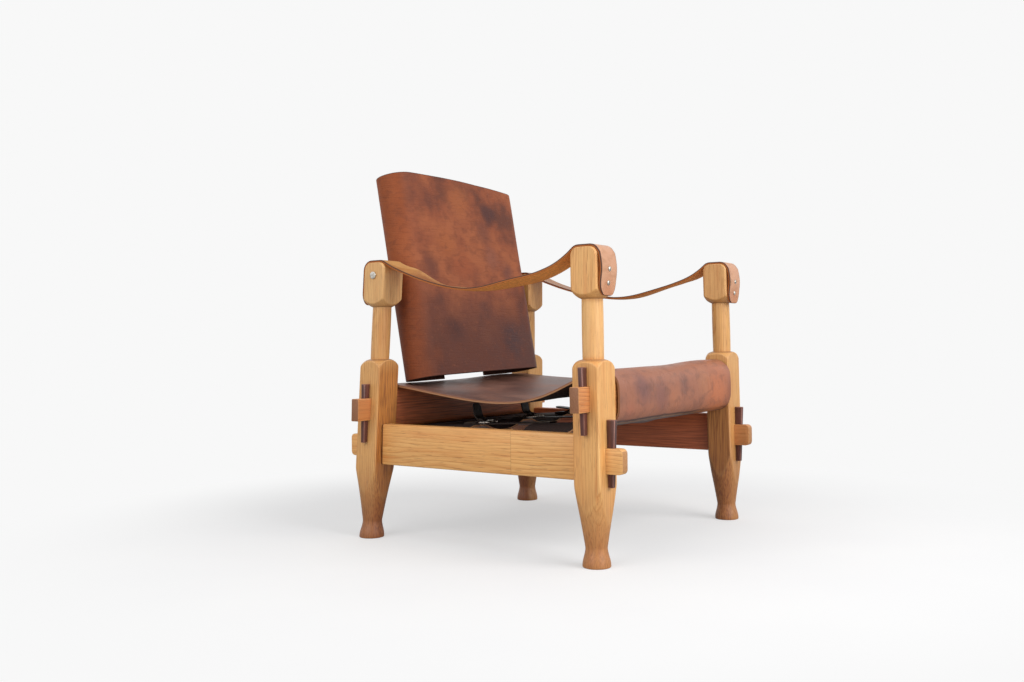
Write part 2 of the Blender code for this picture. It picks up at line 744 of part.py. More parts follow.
class BeltSet:
    """A belt and its buckle across the gap between two leather flaps.

    Local frame: u runs from the belt's flap to the buckle's flap, v across the belt, n away
    from the flaps, whose outer face is n = 0; u = 0 is the middle of the gap.
    """

    def __init__(self, gap):
        self.edge = gap / 2
        self.rear_bar = self.edge - BUCKLE_AHEAD
        self.front_bar = self.rear_bar - (BUCKLE_LENGTH - BUCKLE_BAR)
        self.belt_level = FIT + BELT_LEATHER / 2
        self.frame_level = FIT + BELT_LEATHER + FIT + BUCKLE_BAR / 2
        self.bar_reach = BUCKLE_BAR / 2
        corner_reach = math.hypot(self.bar_reach, self.bar_reach - BUCKLE_EASE)
        self.fold = corner_reach + FIT + CHAPE_LEATHER / 2
        self.prong_ring = corner_reach + FIT + PRONG_RADIUS
        over = max(self.fold + CHAPE_LEATHER / 2, self.prong_ring + PRONG_RADIUS)
        self.over_level = self.frame_level + over + FIT + BELT_LEATHER / 2

    def across(self):
        """The belt's path from its sewn end to where it has crossed the buckle."""
        start = (-self.edge - BELT_LAP, self.belt_level)
        under = (self.front_bar + self.bar_reach, self.belt_level)
        over = (self.rear_bar, self.over_level)
        reach = (over[0] - under[0]) / 2
        cross = curve(under, (under[0] + reach, under[1]), (over[0] - reach, over[1]), over, 8)
        return [start, (-self.edge, self.belt_level)] + cross

    def edges(self, path, droop=0.0):
        """Edges of the belt, with its pointed tail and how far the tail droops sideways."""
        lengths = path_lengths(path)
        halves = taper_to_tip(lengths, lengths[-1], BELT_WIDTH / 2, BELT_TIP, BELT_TIP_SHARE)
        edges = []
        for (u, _), half in zip(path, halves):
            share = max(0.0, u - self.rear_bar) / BACK_TAIL_LENGTH
            edges.append((-half - droop * share * share, half - droop * share * share))
        return edges

    def flat_belt(self, name, droop):
        """Belt whose tail lies along the flap."""
        path = self.across()
        rest = self.frame_level + self.bar_reach + CHAPE_LEATHER + FIT + BELT_LEATHER / 2
        end = (self.rear_bar + BACK_TAIL_LENGTH, rest)
        reach = BACK_TAIL_LENGTH / 3
        tail = curve(path[-1], (path[-1][0] + reach, path[-1][1]), (end[0] - reach, rest), end, 5)
        path = refined_end(path + tail[1:], BELT_TIP, 4)
        return sheet(name, path, BELT_LEATHER, self.edges(path, droop), self.place)

    def upright_belt(self, name):
        """Belt whose stiff tail stands up behind the buckle."""
        path = self.across()
        centre = (path[-1][0], path[-1][1] + SEAT_TAIL_BEND)
        bend = arc(centre, SEAT_TAIL_BEND, -90, -90 + SEAT_TAIL_TURN_DEG, 5)
        end = toward(bend[-1], SEAT_TAIL_LENGTH, SEAT_TAIL_TURN_DEG)
        path = refined_end(path + bend[1:] + [end], BELT_TIP, 4)
        return sheet(name, path, BELT_LEATHER, self.edges(path), self.place)

    @staticmethod
    def place(u, n, v):
        """Local point from the plane of a path and the belt's width."""
        return (u, v, n)

    def chape(self, name):
        """Short folded strap that holds the buckle's bar to its flap."""
        low = FIT + CHAPE_LEATHER / 2
        high = low + CHAPE_LEATHER + FIT
        bar = (self.rear_bar, self.frame_level)
        end = self.edge + CHAPE_LAP
        fold = arc(bar, self.fold, 270, 90, 8)
        path = [(end, low), (self.edge - BUCKLE_AHEAD / 2, low)] + fold
        path += [(self.edge + CHAPE_LAP * CHAPE_CLOSE_SHARE, high), (end, high)]
        half = BELT_WIDTH / 2
        return sheet(name, path, CHAPE_LEATHER, [(-half, half)] * len(path), self.place)

    def frame(self, name):
        """Buckle frame: a rectangular ring of square bar with eased corners."""
        half_v = BELT_WIDTH / 2 + BUCKLE_SIDE_GAP + self.bar_reach
        reach, eased = self.bar_reach, self.bar_reach - BUCKLE_EASE
        section = [(eased, -reach), (reach, -eased), (reach, eased), (eased, reach)]
        section += [(-out, n) for out, n in reversed(section)]
        rings = []
        for out, n in section:
            low = (self.front_bar - out, -half_v - out)
            high = (self.rear_bar + out, half_v + out)
            corner = BUCKLE_CORNER - reach + out if out > 0 else BUCKLE_HOLLOW_CORNER
            rings.append([(u, v, self.frame_level + n) for u, v in rounded(low, high, corner, 2)])
        count = len(rings[0])
        faces = []
        for row in range(len(rings)):
            after = (row + 1) % len(rings)
            for i in range(count):
                j = (i + 1) % count
                faces.append((row * count + i, row * count + j, after * count + j, after * count + i))
        return mesh_of(name, [point for ring in rings for point in ring], faces)

    def prong(self, name):
        """Prong: an eye round the buckle's rear bar and a straight pin over its front bar."""
        bar = (self.rear_bar, self.frame_level)
        eye = arc(bar, self.prong_ring, 170, 450, 10)
        tip = (self.front_bar - PRONG_PROUD, self.frame_level + self.prong_ring)
        path = [Vector((u, 0, n)) for u, n in eye + [tip]]
        return tube(name, path, PRONG_RADIUS, 6)

    def prong_slot(self, name):
        """Cutter for the slot in the chape's fold."""
        reach = self.prong_ring + PRONG_RADIUS + OVERRUN
        return block(
            name, (self.rear_bar - reach, -SLOT_HALF_WIDTH, -OVERRUN),
            (self.rear_bar + self.prong_ring + PRONG_RADIUS + FIT, SLOT_HALF_WIDTH, self.over_level)
        )

    def belt_hole(self, name):
        """Cutter for the hole in the belt that the prong passes through."""
        middle = (self.front_bar + self.rear_bar) / 2
        reach = (self.rear_bar - self.front_bar) / 2 - self.bar_reach - FIT
        return block(
            name, (middle - reach / 2, -SLOT_HALF_WIDTH, -OVERRUN),
            (self.rear_bar - self.bar_reach, SLOT_HALF_WIDTH, self.over_level + BELT_LEATHER)
        )


def make_belts(kind, belts, names, frames, parent, tails, materials):
    """Belts, and their buckles' folded chapes, frames and prongs, of the seat or the back."""
    leather, metal = materials
    for name, frame, tail in zip(names, frames, tails):
        belt_mesh = belts.upright_belt("belt") if tail is None else belts.flat_belt("belt", tail)
        belt = add(kind + "_belt_" + name, moved(belt_mesh, frame), leather, parent)
        cut(belt, moved(belts.belt_hole("hole"), frame))
        chape = add(kind + "_chape_" + name, moved(belts.chape("chape"), frame), leather, parent)
        cut(chape, moved(belts.prong_slot("slot"), frame))
        add(kind + "_buckle_" + name, moved(belts.frame("frame"), frame), metal, parent)
        add(kind + "_prong_" + name, moved(belts.prong("prong"), frame), metal, parent, smooth=True)


def make_seat(leather, belt_leather, metal):
    """Seat sling, and the belts that draw its flaps together below."""
    path, slope_deg, middle = seat_path()
    halves = [POST_INNER_X - SEAT_SIDE_GAP - inward_share(y, SEAT_LOW_HEIGHT) * z for y, z in path]
    edges = [(-half, half) for half in halves]
    add("seat_leather", sheet("seat_leather", path, SEAT_LEATHER, edges, along_x), leather)
    belts = BeltSet(SEAT_FLAP_GAP / math.cos(math.radians(slope_deg)))
    up = toward(middle, SEAT_LEATHER / 2, slope_deg + 90)
    turn = Matrix.Rotation(math.radians(slope_deg), 4, "X") @ Matrix.Rotation(math.radians(90), 4, "Z")
    frames = [
        Matrix.Translation((x, up[0], up[1])) @ turn for x in (-SEAT_BELT_SPREAD, 0, SEAT_BELT_SPREAD)
    ]
    make_belts("seat", belts, BELT_PLACES, frames, None, (None, None, None), (belt_leather, metal))


def back_path():
    """Middle line of the back's leather loop in local X and Y, from flap to flap."""
    radius = BACK_ROUND - BACK_LEATHER / 2
    centre_x = BACK_HALF_WIDTH - BACK_ROUND
    near = (BACK_GAP_SHIFT - BACK_FLAP_GAP / 2, PIVOT_AHEAD + radius)
    far = (BACK_GAP_SHIFT + BACK_FLAP_GAP / 2, PIVOT_AHEAD + radius)
    near_end = arc((-centre_x, PIVOT_AHEAD), radius, 90, 270, 2 * QUARTER_STEPS)
    far_end = arc((centre_x, PIVOT_AHEAD), radius, -90, 90, 2 * QUARTER_STEPS)
    front = []
    for i in range(1, 8):
        share = -1 + i / 4
        crown = BACK_CROWN * (1 - share * share)
        front.append((centre_x * share, PIVOT_AHEAD - radius - crown))
    return [near] + near_end + front + far_end + [far]


def stile_outline(side):
    """D-shaped section of a stile, its round side outwards."""
    radius = BACK_ROUND - BACK_LEATHER - FIT
    centre_x = BACK_HALF_WIDTH - BACK_ROUND
    outline = arc((centre_x, PIVOT_AHEAD), radius, -90, 90, 2 * QUARTER_STEPS)
    outline += [(centre_x - STILE_INNER, PIVOT_AHEAD + radius), (centre_x - STILE_INNER, PIVOT_AHEAD - radius)]
    return [(side * x, y) for x, y in outline]


def make_back(oak, leather, belt_leather, metal):
    """The tilting back: stiles, cross rails, leather loop and belts, on a pivot empty."""
    pivot = bpy.data.objects.new("backrest_pivot", None)
    bpy.context.scene.collection.objects.link(pivot)
    pivot.location = (0, PIVOT_Y, PIVOT_HEIGHT)
    pivot.rotation_euler = (-math.radians(BACK_TILT_DEG), 0, 0)
    bottom, top = -BACK_BELOW_PIVOT, BACK_ABOVE_PIVOT
    middle = (bottom + top) / 2
    inner_x = BACK_HALF_WIDTH - BACK_ROUND - STILE_INNER
    outer_x = BACK_HALF_WIDTH - BACK_LEATHER - FIT

    def rail_box(grow, half_length, thickness, height, level):
        low = (-half_length, PIVOT_AHEAD - thickness / 2 - grow, level - height / 2 - grow)
        high = (half_length, PIVOT_AHEAD + thickness / 2 + grow, level + height / 2 + grow)
        return block("rail", low, high)

    levels = (middle - BACK_RAIL_SPREAD, middle + BACK_RAIL_SPREAD)
    for side, sign in SIDES:
        mesh = prism("stile", stile_outline(sign), bottom + STILE_INSET, top - STILE_INSET, along_z)
        stile = add("back_stile_" + side, mesh, oak, pivot, smooth=True)
        mortises = [
            rail_box(FIT, inner_x + BACK_RAIL_TENON + FIT, BACK_RAIL_TENON_THICKNESS, BACK_RAIL_TENON_HEIGHT, level)
            for level in levels
        ]
        bore = disc((0, 0), BOLT_RADIUS + FIT, PIN_STEPS)
        deep = outer_x - BOLT_IN_STILE - FIT
        cut(stile, joined("mortises", mortises))
        cut(stile, prism("bore", bore, sign * deep, sign * (outer_x + OVERRUN), along_x))
    for name, level in zip(("lower", "upper"), levels):
        body = rail_box(0, inner_x - FIT, BACK_RAIL_THICKNESS, BACK_RAIL_HEIGHT, level)
        rail = add("back_cross_rail_" + name, body, oak, pivot)
        cut(rail, rail_box(0, inner_x + BACK_RAIL_TENON, BACK_RAIL_TENON_THICKNESS, BACK_RAIL_TENON_HEIGHT, level),
            "UNION")
    path = back_path()
    cover = add("back_leather", sheet("cover", path, BACK_LEATHER, [(bottom, top)] * len(path), along_z), leather, pivot)
    bore = disc((0, 0), BOLT_RADIUS + FIT, PIN_STEPS)
    cut(cover, joined("bores", [
        prism("bore", bore, sign * (BACK_HALF_WIDTH - BACK_ROUND), sign * (BACK_HALF_WIDTH + OVERRUN), along_x)
        for _, sign in SIDES
    ]))
    belts = BeltSet(BACK_FLAP_GAP)
    turn = Matrix.Rotation(math.radians(-90), 4, "X")
    frames = [
        Matrix.Translation((BACK_GAP_SHIFT, FLAP_LEVEL, height)) @ turn for height in BACK_BELT_HEIGHTS
    ]
    droops = (-LOW_TAIL_DROOP, 0.0, 0.0)
    make_belts("back", belts, BELT_LEVELS, frames, pivot, droops, (belt_leather, metal))


def spacer_mesh(name, inner, outer, waist, start, end, sign):
    """A turned spacer along X with an open bore, mirrored by its sign."""
    rows = [(inner, start), (outer, start), (waist, (start + end) / 2), (outer, end), (inner, end)]
    points = [
        (sign * x, a, b) for radius, x in rows for a, b in disc((0, 0), radius, PIN_STEPS)
    ]
    faces = []
    for row in range(len(rows)):
        after = (row + 1) % len(rows)
        for i in range(PIN_STEPS):
            j = (i + 1) % PIN_STEPS
            base, next_base = row * PIN_STEPS, after * PIN_STEPS
            faces.append((base + i, base + j, next_base + j, next_base + i))
    return mesh_of(name, points, faces)


def make_pivots(oak, metal):
    """Bolts through the rear heads, and the turned spacers between heads and back."""
    place = (0, PIVOT_Y, PIVOT_HEIGHT)
    tip = BACK_HALF_WIDTH - BACK_LEATHER - FIT - BOLT_IN_STILE
    head = BOLT_HEAD_RADIUS
    outer = REAR.x(PIVOT_HEIGHT) + POST_WIDTH / 2 + FIT + REAR.inward * BOLT_HEAD_RADIUS
    spacer_end = REAR.x(PIVOT_HEIGHT) - POST_WIDTH / 2 - FIT - REAR.inward * SPACER_RADIUS
    for side, sign in SIDES:
        profile = [(BOLT_RADIUS, tip), (BOLT_RADIUS, outer), (head, outer)]
        profile += [(head * wide, outer + BOLT_HEAD_HEIGHT * rise) for wide, rise in BOLT_HEAD_SHARES]
        mesh = turned("bolt", profile, PIN_STEPS, lambda a, b, x, sign=sign: (sign * x, a, b))
        add("pivot_bolt_" + side, mesh, metal, location=place, smooth=True)
        spacer = spacer_mesh(
            "spacer", BOLT_RADIUS + FIT, SPACER_RADIUS, SPACER_WAIST_RADIUS, BACK_HALF_WIDTH + FIT, spacer_end, sign
        )
        add("pivot_spacer_" + side, spacer, oak, location=place, smooth=True)


def strap_path():
    """Middle line of an arm strap in Y and Z, from its front end to its rear end."""
    grow = FIT + STRAP_LEATHER / 2
    half = POST_DEPTH / 2
    ends, tops = [], []
    for pair, leave in ((FRONT, STRAP_FRONT_LEAVE_DEG), (REAR, STRAP_REAR_LEAVE_DEG)):
        over = rail_arc(pair, 0, POST_DEPTH, HEAD_BOTTOM, HEAD_TOP - HEAD_BOTTOM, HEAD_ROUND, grow)
        if pair is FRONT:
            tops.append(over(3, 180, 90) + over(2, 90, 90 - leave, 3))
        else:
            tops.append(over(3, 90 + leave, 90, 3) + over(2, 90, 0))
        ends.append((pair.y(STRAP_END_HEIGHT, pair.out * (half + grow)), STRAP_END_HEIGHT))
    low = (-STRAP_LOW_SHIFT, STRAP_LOW_HEIGHT)
    start, end = tops[0][-1], tops[1][0]
    front_run, rear_run = low[0] - start[0], end[0] - low[0]
    shares = STRAP_SAG_SHARES
    front_sag = curve(
        start, toward(start, front_run * shares[0], -STRAP_FRONT_LEAVE_DEG), (low[0] - front_run * shares[1], low[1]), low
    )
    rear_sag = curve(
        low, (low[0] + rear_run * shares[2], low[1]), toward(end, rear_run * shares[3], 180 + STRAP_REAR_LEAVE_DEG), end
    )
    path = [ends[0]] + tops[0] + front_sag[1:] + rear_sag[1:-1] + tops[1] + [ends[1]]
    path = refined_end(path, STRAP_TONGUE, 5)
    return refined_end(path[::-1], STRAP_TONGUE, 5)[::-1]


def strap_edges(path):
    """Edges of an arm strap, with a rounded tongue at both ends."""
    lengths = path_lengths(path)
    total = lengths[-1]
    half = STRAP_WIDTH / 2
    far = taper_to_tip(lengths, total, half, STRAP_TONGUE, STRAP_TIP_SHARE)
    near = taper_to_tip([total - length for length in lengths], total, half, STRAP_TONGUE, STRAP_TIP_SHARE)
    return [(-min(a, b), min(a, b)) for a, b in zip(far, near)]


def screw_mesh(name, out, height):
    """A round-headed screw through a strap into a head, from the middle of its post."""
    face_y = out * POST_DEPTH / 2
    outer = face_y + out * (FIT + STRAP_LEATHER + FIT)
    head, rise = SCREW_HEAD_RADIUS, SCREW_HEAD_HEIGHT
    profile = [
        (SCREW_RADIUS * SCREW_POINT_SHARE, face_y - out * SCREW_LENGTH),
        (SCREW_RADIUS, face_y - out * (SCREW_LENGTH - OVERRUN)), (SCREW_RADIUS, outer), (head, outer),
    ]
    profile += [(head * wide, outer + out * rise * up) for wide, up in SCREW_HEAD_SHARES]
    return moved(turned(name, profile, SCREW_STEPS, along_y), Matrix.Translation((0, 0, height)))


def strap_x(side):
    """A function that places a strap's point between a front and a rear head that lean inwards."""

    def place(y, z, across):
        return (across - side * inward_share(y, HEAD_TOP) * z, y, z)

    return place


def make_straps(leather, metal):
    """Arm straps over the heads, with two screws at each end."""
    path = strap_path()
    edges = strap_edges(path)
    reach = STRAP_LEATHER + 2 * OVERRUN
    for side_name, side in SIDES:
        mesh = sheet("strap", path, STRAP_LEATHER, edges, strap_x(side))
        strap = add("arm_strap_" + side_name, mesh, leather, location=(side * POST_X, 0, 0))
        holes = []
        for pair in (FRONT, REAR):
            low, high = sorted((pair.out * (POST_DEPTH / 2 - OVERRUN), pair.out * (POST_DEPTH / 2 + reach)))
            for level, height in zip(("upper", "lower"), SCREW_HEIGHTS):
                screw = moved(screw_mesh("screw", pair.out, height), pair.lean(side))
                name = "strap_screw_" + pair.name + "_" + side_name + "_" + level
                add(name, screw, metal, location=(side * POST_X, pair.foot_y, 0), smooth=True)
                bore = prism("hole", disc((0, height), SCREW_RADIUS + FIT, SCREW_STEPS), low, high, along_y)
                holes.append(moved(bore, Matrix.Translation((0, pair.foot_y, 0)) @ pair.lean(side)))
        cut(strap, joined("holes", holes))


def centre_on_box():
    """Move everything so that the part's own box is centred on the origin in Y."""
    bpy.context.view_layer.update()
    graph = bpy.context.evaluated_depsgraph_get()
    pieces = [item.evaluated_get(graph) for item in bpy.context.scene.objects if not item.hide_render]
    reach = [
        (piece.matrix_world @ Vector(corner)).y
        for piece in pieces if piece.type == "MESH" for corner in piece.bound_box
    ]
    centre = (min(reach) + max(reach)) / 2
    for item in bpy.context.scene.objects:
        if item.parent is None:
            item.location.y -= centre


def main():
    """Build the chair."""
    clear_scene()
    oak = finish("oak", (0.56, 0.33, 0.14), 0.45)
    wedge_wood = finish("wedge_wood", (0.09, 0.035, 0.025), 0.4)
    seat_hide = finish("seat_leather", (0.16, 0.055, 0.03), 0.4)
    back_hide = finish("back_leather", (0.27, 0.08, 0.035), 0.45)
    strap_hide = finish("strap_leather", (0.50, 0.24, 0.09), 0.5)
    belt_hide = finish("belt_leather", (0.05, 0.022, 0.015), 0.5)
    nickel = finish("nickel", (0.72, 0.70, 0.66), 0.25, 1.0)
    for side_name, side in SIDES:
        make_post(FRONT, side_name, side, FRONT_LEFT_NECK_LIFT if side > 0 else 0, oak)
        make_post(REAR, side_name, side, 0, oak)
        make_side_rail(side_name, side, oak)
    make_cross_rail(
        FRONT, FRONT_RAIL_SET_BACK, FRONT_RAIL_DEPTH, FRONT_RAIL_BOTTOM, FRONT_RAIL_HEIGHT, FRONT_RAIL_ROUND, oak
    )
    make_cross_rail(REAR, 0, REAR_RAIL_DEPTH, REAR_RAIL_BOTTOM, REAR_RAIL_HEIGHT, REAR_RAIL_ROUND, oak)
    make_wedges(wedge_wood)
    make_seat(seat_hide, belt_hide, nickel)
    make_back(oak, back_hide, belt_hide, nickel)
    make_pivots(oak, nickel)
    make_straps(strap_hide, nickel)
    centre_on_box()


main()
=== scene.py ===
"""Looks of the knock-down easy chair: turned oak posts, wedged rails and saddle leather.

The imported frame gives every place. Wooden pieces are turned again as fine surfaces or take a
softened copy of their solid, and each leather piece is worked out as a sheet with thickness.
Metres, +Z up, the chair's front towards -Y, the sitter's left towards +X.
"""

from __future__ import annotations

import json
import logging
import math
from collections.abc import Callable, Sequence
from dataclasses import dataclass, field
from enum import Enum

import bmesh
import bpy
import numpy as np
from mathutils import Matrix, Vector

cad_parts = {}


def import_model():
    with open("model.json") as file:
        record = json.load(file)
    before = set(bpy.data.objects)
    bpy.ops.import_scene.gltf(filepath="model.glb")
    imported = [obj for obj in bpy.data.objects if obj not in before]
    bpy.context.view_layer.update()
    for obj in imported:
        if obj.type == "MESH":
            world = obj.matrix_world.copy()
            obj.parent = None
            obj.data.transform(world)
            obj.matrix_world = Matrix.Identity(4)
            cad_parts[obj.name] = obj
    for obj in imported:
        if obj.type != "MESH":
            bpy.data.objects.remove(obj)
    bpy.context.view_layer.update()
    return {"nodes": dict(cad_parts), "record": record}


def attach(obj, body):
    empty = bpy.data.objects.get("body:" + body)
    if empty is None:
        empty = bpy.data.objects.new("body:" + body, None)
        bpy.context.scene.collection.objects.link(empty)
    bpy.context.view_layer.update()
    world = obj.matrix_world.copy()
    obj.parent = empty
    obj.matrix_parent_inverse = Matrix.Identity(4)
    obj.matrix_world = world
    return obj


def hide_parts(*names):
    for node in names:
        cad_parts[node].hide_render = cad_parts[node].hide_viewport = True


LOG = logging.getLogger("easy_chair")

FIT = 0.0003
POST_X = 0.305
POST_WIDTH = 0.0655
POST_DEPTH = 0.058
HEAD_BOTTOM = 0.503
HEAD_TOP = 0.6
HEAD_ROUND = 0.016
TENON_THICKNESS = 0.02
TENON_HEIGHT = 0.048
SIDE_TENON_CENTRE = 0.2
HIDE_THICKNESS = 0.0048
HIDE_BULGE = 0.0009
BELT_BULGE = 0.0005
BACK_HALF_WIDTH = 0.2318
PIVOT_BELOW_TOP = 0.028
PIVOT_HEIGHT = HEAD_TOP - PIVOT_BELOW_TOP
SCREW_HEIGHTS = {"upper": 0.558, "lower": 0.532}
SEAT_BELT_X = 0.184
FRONT_LEFT_NECK_LIFT = 0.006
BOX_SIDES = [[0, 1, 3, 2], [4, 6, 7, 5], [0, 4, 5, 1], [2, 3, 7, 6], [0, 2, 6, 4], [1, 5, 7, 3]]

Colour = tuple[int, int, int]
Triple = tuple[float, float, float]
Span = tuple[float, float]
Socket = bpy.types.NodeSocket
Mesh = bpy.types.Mesh
Material = bpy.types.Material
Array = np.ndarray
Number = float | Socket
Paint = Socket | Colour


class Side(Enum):
    """The sitter's right and left."""

    RIGHT = -1
    LEFT = 1

    @property
    def label(self) -> str:
        """Word used in the piece names."""
        return self.name.lower()


class Grain(Enum):
    """Which way the wood's fibres run: the order of the coordinates that puts them last."""

    ALONG_X = ("Y", "Z", "X")
    ALONG_Y = ("Z", "X", "Y")
    ALONG_Z = ("X", "Y", "Z")


class Body(Enum):
    """Bodies of the frame that pieces ride on."""

    FRAME = "frame"
    BACKREST = "backrest"


def linear(colour: Colour) -> tuple[float, float, float, float]:
    """A display colour as scene-linear values: c/12.92 where dark, ((c + 0.055)/1.055)^2.4 above.

    Args:
        colour: Red, green and blue of 0 to 255.

    Returns:
        The linear values with full alpha.
    """
    shares = np.array(colour) / 255.0
    low = shares / 12.92
    high = ((shares + 0.055) / 1.055) ** 2.4
    return (*np.where(shares <= 0.04045, low, high).tolist(), 1.0)


def smoothstep(value: Array) -> Array:
    """Rises from 0 to 1 with level ends: 3t^2 - 2t^3 on t clipped to 0..1."""
    share = np.clip(value, 0.0, 1.0)
    return share * share * (3.0 - 2.0 * share)


def bell(value: Array, centre: float | Array, reach: float) -> Array:
    """A bell curve: exp(-d^2), where d is the distance from the centre over the reach."""
    return np.exp(-(((value - centre) / reach) ** 2))


def put_in(name: str, data: bpy.types.ID) -> bpy.types.Object:
    """A new object in the scene for a mesh, lamp or camera."""
    thing = bpy.data.objects.new(name, data)
    bpy.context.scene.collection.objects.link(thing)
    return thing


# Node materials


class Wiring:
    """Adds nodes to a tree and joins them."""

    def __init__(self, tree: bpy.types.NodeTree) -> None:
        """Keep the tree that the nodes go into."""
        self.tree = tree

    def add(
        self, kind: str, inputs: Sequence[object] | dict[int | str, object] = (), **settings: object
    ) -> bpy.types.Node:
        """A new node.

        Args:
            kind: Blender's name of the node type.
            inputs: Sockets or values for its inputs, in their order or by name.
            settings: The node's own options.

        Returns:
            The node.
        """
        node = self.tree.nodes.new(kind)
        for key, value in settings.items():
            setattr(node, key, value)
        for key, value in inputs.items() if isinstance(inputs, dict) else enumerate(inputs):
            self.feed(node, key, value)
        return node

    def feed(self, node: bpy.types.Node, key: int | str, value: object) -> None:
        """Link a socket into an input, or set the input to a value.

        Args:
            node: Node that takes it.
            key: The input's place or name.
            value: Socket or plain value.
        """
        socket = node.inputs[key]
        if isinstance(value, Socket):
            self.tree.links.new(value, socket)
        else:
            socket.default_value = value

    def maths(self, operation: str, *values: Number) -> Socket:
        """One sum on numbers."""
        return self.add("ShaderNodeMath", values, operation=operation).outputs[0]

    def times(self, first: Number, second: Number) -> Socket:
        """Product of two numbers."""
        return self.maths("MULTIPLY", first, second)

    def vectors(self, operation: str, *values: Socket | Triple) -> Socket:
        """One sum on vectors; a length or a distance comes out as a number."""
        node = self.add("ShaderNodeVectorMath", values, operation=operation)
        return node.outputs["Value" if operation in ("LENGTH", "DISTANCE") else "Vector"]

    def between(self, value: Number, low: float, high: float, start: float = 0.0, end: float = 1.0) -> Socket:
        """A number led smoothly from start at low to end at high."""
        values = (value, low, high, start, end)
        return self.add("ShaderNodeMapRange", values, interpolation_type="SMOOTHSTEP").outputs[0]


class Recipe(Wiring):
    """Writes one node material, whose colour is laid on a layer at a time."""

    def __init__(self, name: str) -> None:
        """Start a material with its shader and its object coordinates.

        Args:
            name: Name of the material.
        """
        self.material = bpy.data.materials.new(name)
        self.material.use_nodes = True
        super().__init__(self.material.node_tree)
        self.shader = self.tree.nodes["Principled BSDF"]
        self.position = self.add("ShaderNodeTexCoord").outputs["Object"]
        self.colour: Paint = (255, 255, 255)

    def stretched(self, vector: Socket, scale: Sequence[float], shift: Sequence[float] = (0, 0, 0)) -> Socket:
        """Coordinates moved by a shift and then scaled along each axis."""
        return self.vectors("MULTIPLY", self.vectors("ADD", vector, tuple(shift)), tuple(scale))

    def noise(self, vector: Socket, scale: float, detail: float = 3.0, distortion: float = 0.0) -> Socket:
        """Cloudy noise between 0 and 1."""
        inputs = {"Vector": vector, "Scale": scale, "Detail": detail, "Distortion": distortion}
        return self.add("ShaderNodeTexNoise", inputs).outputs["Fac"]

    def streaks(
        self, vector: Socket, scale: Triple, detail: float = 3.0, shift: Triple = (0, 0, 0),
        distortion: float = 0.0,
    ) -> Socket:
        """Noise on stretched coordinates, drawn out along the axis whose scale is the lowest."""
        return self.noise(self.stretched(vector, scale, shift), 1.0, detail, distortion)

    def cells(self, vector: Socket, scale: float) -> Socket:
        """Distance to the nearest of many scattered points."""
        node = self.add("ShaderNodeTexVoronoi", {"Vector": vector, "Scale": scale}, feature="F1")
        return node.outputs["Distance"]

    def ramp(self, value: Number, stops: Sequence[tuple[float, Colour]]) -> Socket:
        """A colour for each value, mixed evenly between the stops.

        Args:
            value: Number that picks the colour.
            stops: Place and colour of each stop, in order.

        Returns:
            The colour.
        """
        node = self.add("ShaderNodeValToRGB", (value,))
        elements = node.color_ramp.elements
        while len(elements) < len(stops):
            elements.new(0.5)
        for element, (place, colour) in zip(elements, stops):
            element.position = place
            element.color = linear(colour)
        return node.outputs["Color"]

    def blend(self, factor: Number, first: Paint, second: Paint, how: str = "MIX") -> Socket:
        """Two colours mixed by a factor.

        Args:
            factor: 0 for the first colour, 1 for the second.
            first: Colour or socket underneath.
            second: Colour or socket on top.
            how: Blender's name of the way of mixing.

        Returns:
            The mixed colour.
        """
        first, second = (linear(value) if isinstance(value, tuple) else value for value in (first, second))
        inputs = {0: factor, 6: first, 7: second}
        return self.add("ShaderNodeMix", inputs, data_type="RGBA", blend_type=how).outputs[2]

    def over(
        self, base: Paint, colour: Paint, mask: Number, span: Span, strength: Span = (0.0, 1.0)
    ) -> Socket:
        """A colour laid over another, its strength led between two values while the mask crosses a span."""
        return self.blend(self.between(mask, *span, *strength), base, colour)

    def lay(self, colour: Paint, mask: Number, span: Span, strength: Span = (0.0, 1.0)) -> None:
        """Lay a colour over the surface's own, as over does."""
        self.colour = self.over(self.colour, colour, mask, span, strength)

    def cover(self, factor: Number, colour: Paint, how: str = "MIX") -> None:
        """Mix a colour into the surface's own by a factor."""
        self.colour = self.blend(factor, self.colour, colour, how)

    def attribute(self, name: str) -> Socket:
        """A number that the mesh carries."""
        return self.add("ShaderNodeAttribute", attribute_name=name).outputs["Fac"]

    def split(self, vector: Socket) -> dict[str, Socket]:
        """The three coordinates, by axis name."""
        node = self.add("ShaderNodeSeparateXYZ", (vector,))
        return {axis: node.outputs[axis] for axis in "XYZ"}

    def relief(self, height: Number, depth: float, normal: Socket | None = None) -> Socket:
        """A bump on top of another one.

        Args:
            height: Pattern of the relief.
            depth: Its depth in metres; below zero it is pressed in.
            normal: The bump underneath, if there is one.

        Returns:
            The bumped normal.
        """
        inputs = {"Strength": 1.0, "Distance": abs(depth), "Height": height}
        if normal is not None:
            inputs["Normal"] = normal
        return self.add("ShaderNodeBump", inputs, invert=depth < 0).outputs[0]

    def finish(self, roughness: Socket, normal: Socket) -> Material:
        """Join colour, roughness and relief to the shader."""
        for key, value in (("Base Color", self.colour), ("Roughness", roughness), ("Normal", normal)):
            self.feed(self.shader, key, value)
        return self.material


@dataclass(frozen=True)
class WoodFigure:
    """What a wood's colour is worked out from at each point."""

    recipe: Recipe
    axes: dict[str, Socket]
    normals: dict[str, Socket]
    place: Socket
    phase: Socket
    fibre: Socket
    pores: Socket


